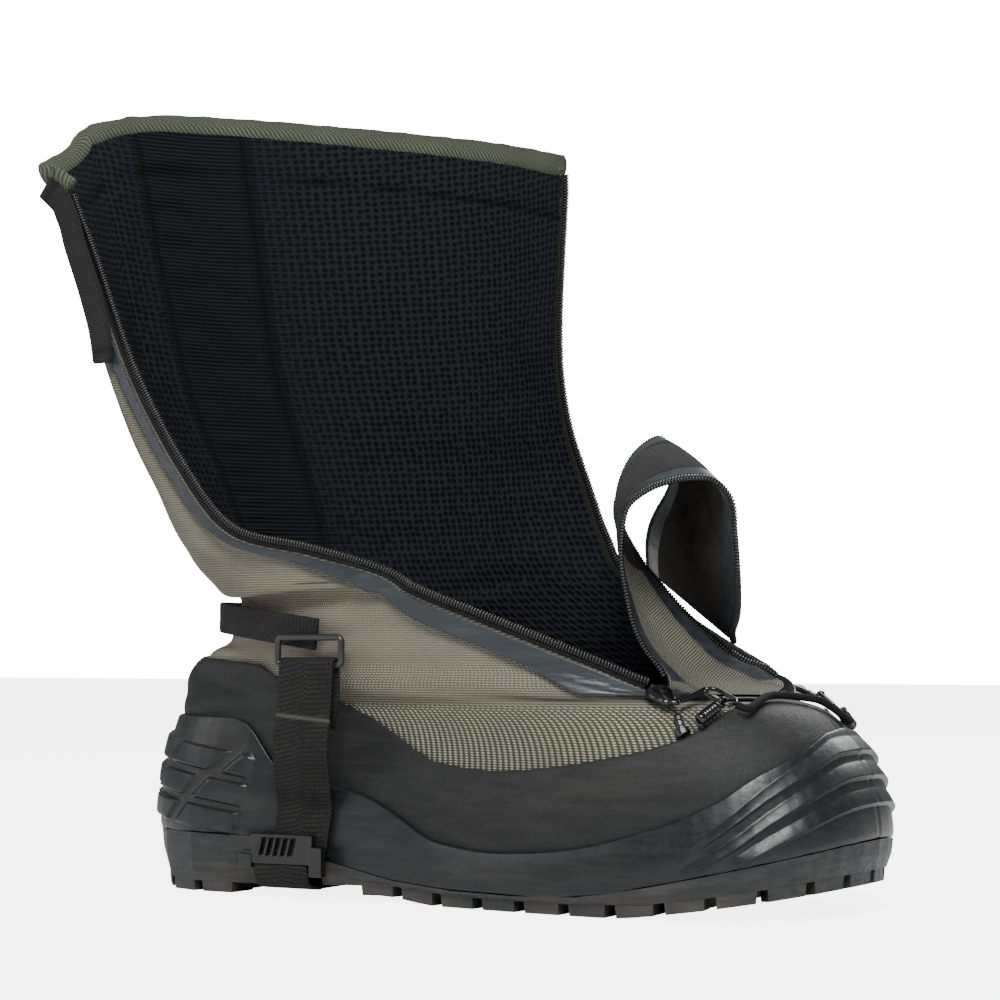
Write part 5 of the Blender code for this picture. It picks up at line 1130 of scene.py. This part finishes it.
# boxes of one moulded buckle joined in one mesh, corners rounded by a bevel
def makeBuckle(label, side):
    near = buckleFace(side)
    far, foot, top = near + buckleLook["deep"], buckleLook["foot"], buckleLook["top"]
    left, right = strapX - 0.015, strapX + 0.017
    spans = [
        ((left, near, foot), (right, far - 0.0010, top), 0.0),
        ((right - 0.001, near + 0.0005, foot - 0.005), (right + 0.0055, far, top - 0.005), 0.0),
        ((left - 0.012, near + 0.001, top - 0.0075), (left + 0.001, far - 0.0015, top - 0.001), 0.0),
        ((left - 0.006, near + 0.001, foot - 0.002), (left + 0.0005, far - 0.0005, foot + 0.004), 0.0)]
    spans += [((x, far - 0.0015, foot + 0.0035), (x + 0.0016, far + 0.0015, top - 0.0015), 0.0022)
              for x in np.linspace(left + 0.004, right - 0.013, 5)]
    sides = ((0, 1, 2, 3), (7, 6, 5, 4), (0, 4, 5, 1), (1, 5, 6, 2), (2, 6, 7, 3), (3, 7, 4, 0))
    points, faces = [], []
    for low, high, slant in spans:
        start = len(points)
        for z, shift in ((low[2], 0.0), (high[2], slant)):
            for x, y in ((low[0], low[1]), (high[0], low[1]), (high[0], high[1]), (low[0], high[1])):
                points.append((x + shift, side * y, z))
        faces += [tuple(start + k for k in face[::side]) for face in sides]
    name = "buckle_" + label
    mesh = bpy.data.meshes.new(name + "_plate")
    mesh.from_pydata(points, [], faces)
    mesh.materials.append(blackPlastic)
    obj = addObject(name + "_plate", mesh)
    bevel = obj.modifiers.new("Bevel", "BEVEL")
    bevel.width, bevel.segments = buckleLook["round"], 3
    finishPiece(obj, name)


makeAnkleStrap()
makeUnderfoot()
for side, label in both:
    makeRing(label, side)
    makeSideStrap(label, side)
    makeBuckle(label, side)
print("straps made")


# sliders, links, tabs and the closed zip at the foot of each zip
sliderPlan = [(-0.50, 0.0), (-0.47, 0.22), (-0.40, 0.40), (-0.22, 0.485), (-0.05, 0.50),
              (0.10, 0.44), (0.25, 0.34), (0.44, 0.25), (0.485, 0.14), (0.50, 0.0)]
sliderRows = [(0.0, 0.0), (0.92, 0.0), (1.0, 0.12), (1.0, 0.42), (0.95, 0.60), (0.82, 0.80),
              (0.6, 0.94), (0.3, 1.0), (0, 1.0)]
sliderLook = {"long": 0.0160, "wide": 0.0110, "tall": 0.0032}
linkLook = {"long": 0.0155, "wide": 0.0070, "wire": 0.0016}
tabLook = {"eye": 0.0019, "wire": 0.0016, "radius": 0.0026, "length": 0.0125}
fittings = {
    -1: {"slider": ((0.776, -0.62, 0.96), (0.803, -0.67, 0.80), 0.0032),
         "foot": ((0.798, -0.620, 0.86), (0.810, -0.65, 0.78), 0.0014),
         "link": ((0.245, -0.03326, 0.08984), (0.9077, -0.20758, -0.36468),
                  (0.273, -0.367, 0.889))},
    1: {"slider": ((0.862, 0.53, 0.96), (0.885, 0.60, 0.84), 0.0056),
        "foot": ((0.886, 0.57, 0.89), (0.905, 0.62, 0.80), 0.0036),
        "link": ((0.27153, 0.02362, 0.08596), (0.77708, -0.25848, -0.57388),
                 (0.624, 0.194, 0.757))}}
hinges = {-1: (0.24754, -0.03727, 0.0874), 1: (0.27496, 0.02589, 0.08255)}


def surfaceFrame(start, end, lift):
    start, end = tablePoints([start, end])
    spot, normal = (np.array(v) for v in tree.find_nearest(Vector(start))[:2])
    along = unit(square(end - start, normal))
    return spot + normal * lift, along, np.cross(normal, along), normal


def linkFrame(side):  # middle, long axis, short axis and the axis off the shoe
    spot, along, away = (np.array(v) for v in fittings[side]["link"])
    return spot, along, np.cross(away, along), away


def placed(frameAxes, points):
    spot, along, across, away = frameAxes
    return spot + points[..., :1] * along + points[..., 1:2] * across + points[..., 2:] * away


# dome over the plan: the outline shrinks as the cosine and rises as the sine of one angle
def makeSlider(label, side):
    axes = surfaceFrame(*fittings[side]["slider"])
    plan = smoothPath(np.array(sliderPlan) * (sliderLook["long"], sliderLook["wide"]), 30)
    outline = np.concatenate([plan, plan[-2:0:-1] * (1, -1), plan[:1]])
    grid = np.array([np.column_stack([outline * size, 0 * outline[:, :1] + rise * sliderLook["tall"]])
                     for size, rise in sliderRows])
    obj = gridObject("slider_" + label, placed(axes, grid), blackPlastic,
                     "zip_slider_" + label, closed=True, turned=True)
    rounded = obj.modifiers.new("Subsurf", "SUBSURF")
    rounded.levels = rounded.render_levels = 1
    spot, along, _, _ = linkFrame(side)
    nose = placed(axes, np.array([[-0.001, 0.0, 0.0022], [0.004, 0.0, 0.0026], [0.0075, 0.0, 0.0022]]))
    neck = smoothPath(np.concatenate([nose, [spot - along * 0.0077]]), 24)
    sweep("sliderNeck_" + label, neck, np.tile(axes[2], (24, 1)), roundProfile(0.0030, 0.0020, 12),
          blackPlastic, "zip_fitting",
          scale=np.interp(np.linspace(0, 1, 24), (0, 0.5, 0.85, 1), (1.2, 0.9, 0.9, 1.25)))
    arch = np.radians(np.linspace(0, 180, 17))
    arch = np.stack([0.0034 * np.cos(arch) - 0.0005, 0 * arch, 0.0012 + 0.0024 * np.sin(arch)], 1)
    sweep("sliderBridge_" + label, placed(axes, arch), np.tile(axes[2], (17, 1)),
          roundProfile(0.0024, 0.0011, 10), blackPlastic, "zip_fitting")


def makeZipEnd(label, side):
    start, end, lift = fittings[side]["foot"]
    ends, share = tablePoints([start, end]), np.linspace(0, 1, 40)
    laidStrip("zipEnd_" + label, ends[0] + (ends[1] - ends[0]) * share[:, None],
              lift + coilLook["wall"] / 2, strapProfile(coilLook["width"], coilLook["wall"], 5),
              blackPlastic, "zip_fitting", "zip_end_" + label,
              scale=np.where(share < 0.68, 0.82 + 0.12 * (np.sin(share * 150) > 0), 1.5))


def makeLink(label, side):
    axes = linkFrame(side)
    turn = np.radians(np.linspace(-90.0, 90.0, 15))
    radius, straight = linkLook["wide"] / 2, (linkLook["long"] - linkLook["wide"]) / 2
    bend = np.stack([straight + np.cos(turn) * radius, np.sin(turn) * radius, 0 * turn], 1)
    oval = np.concatenate([bend, bend * (-1, -1, 1)])
    sweep("zipLink_" + label, placed(axes, oval), np.tile(axes[3], (30, 1)),
          roundProfile(linkLook["wire"], linkLook["wire"], 12), blackPlastic, "zip_fitting",
          "zip_link_" + label, closed=True)


# lathed grip: a row of grooves on a capsule, hung from an eye round the link's wire
def makePullTab(label, side):
    _, along, out, _ = linkFrame(side)
    hinge, body = np.array(hinges[side]), "tab_" + label
    out = out * np.sign(out[1]) * side
    far, _ = conform([hinge + out * tabLook["length"]], 0.0026 + 0.0034)
    down = unit(square(far[0] - hinge, along))
    up = np.cross(along, down)
    turn = np.linspace(0.0, 2 * np.pi, 25)[:-1, None]
    ringPath = hinge + tabLook["eye"] * (np.cos(turn) * down + np.sin(turn) * up)
    sweep("tabEye_" + label, ringPath, np.tile(along, (24, 1)),
          roundProfile(tabLook["wire"], tabLook["wire"], 10), blackPlastic, "pull_tab",
          "pull_tab_" + label, body, closed=True)
    share = np.linspace(0, 1, 46)
    outline = np.interp(share, (0, 0.04, 0.12, 0.9, 0.97, 1.0), (0.55, 0.8, 1.0, 1.0, 0.86, 0.6))
    grooves = 1 - 0.09 * (np.sin(share * 52) > 0.3) * (share > 0.25) * (share < 0.85)
    path = hinge + down * (tabLook["eye"] + share[:, None] * tabLook["length"])
    sweep("tabGrip_" + label, path, np.tile(along, (46, 1)), roundProfile(2.0, 2.0, 20),
          blackPlastic, "pull_tab", None, body, scale=tabLook["radius"] * outline * grooves)


for side, label in both:
    makeSlider(label, side)
    makeZipEnd(label, side)
    makeLink(label, side)
    makePullTab(label, side)
print("zip fittings made")


# insole: the foot's floor ring drawn in a little and filled from edge to spine
insoleLook = {"rows": 14, "inset": 0.0035, "rise": 0.0036, "wall": 0.0030}


def makeInsole():
    here = upperAt(np.full(columns + 1, 0.05), np.arange(columns + 1))
    x, y, z = here.T
    share = np.linspace(0.0, 1.0, insoleLook["rows"])[:, None, None]
    narrow = np.clip(1.0 - insoleLook["inset"] / np.maximum(np.abs(y), 0.006), 0.2, 1.0)
    centre = np.column_stack([x, 0 * x, z])
    edge = np.column_stack([x * 0.985 + 0.0016, y * narrow, z])
    grid = centre * share + edge * (1 - share)
    grid[..., 2] = soleHeights(grid[..., 0])[2] + insoleLook["rise"]
    obj = gridObject("insoleCloth", grid, lining, "insole")
    thicken(obj, insoleLook["wall"])


makeInsole()
for place in bpy.data.objects["outsole"].material_slots:
    place.material = treadRubber
print("insole and outsole made")


# floor, lamps and the world
light = {"key": 78.0, "fill": 12.0, "rim": 34.0, "world": 0.30, "seen": 16.0, "floor": 5.0}


def makeFloor():
    mesh = bpy.data.meshes.new("floor")
    mesh.from_pydata([(-6, -6, 0), (6, -6, 0), (6, 6, 0), (-6, 6, 0)], [], [(0, 1, 2, 3)])
    material, surface = startMaterial("paleFloor")
    pale = mixed(surface, noise(surface, solidAt(surface), 3.0), (0.93, 0.93, 0.93),
                 (0.96, 0.96, 0.96))
    seen = put(surface, "ShaderNodeLightPath").outputs["Is Camera Ray"]
    sockets = surface.nodes["Principled BSDF"].inputs
    for label, value in (("Base Color", pale), ("Roughness", 0.6), ("Emission Color", pale),
                         ("Emission Strength", times(surface, seen, light["floor"]))):
        plug(surface, value, sockets[label])
    mesh.materials.append(material)
    addObject("floor", mesh)


def makeLamp(name, place, aim, size, power):
    data = bpy.data.lights.new(name, "AREA")
    data.shape, data.size, data.energy = "DISK", size, power
    lamp = addObject(name, data)
    lamp.location = place
    lamp.rotation_euler = (Vector(place) - Vector(aim)).to_track_quat("Z", "Y").to_euler()


makeFloor()
makeLamp("keyLamp", (0.9, -1.5, 1.7), (0.08, 0, 0.12), 1.1, light["key"])
makeLamp("fillLamp", (-1.6, -1.2, 0.9), (0.05, 0, 0.15), 1.4, light["fill"])
makeLamp("rimLamp", (0.4, 1.6, 1.5), (0.1, 0, 0.15), 1.2, light["rim"])
world = bpy.data.worlds.new("studio")
world.use_nodes = True
sky = world.node_tree
seen = put(sky, "ShaderNodeLightPath").outputs["Is Camera Ray"]
glow = sky.nodes["Background"].inputs
plug(sky, spread(sky, seen, 0.0, 1.0, light["world"], light["seen"]), glow["Strength"])
plug(sky, (1.0, 1.0, 1.0, 1.0), glow["Color"])
bpy.context.scene.world = world
print("stage made")
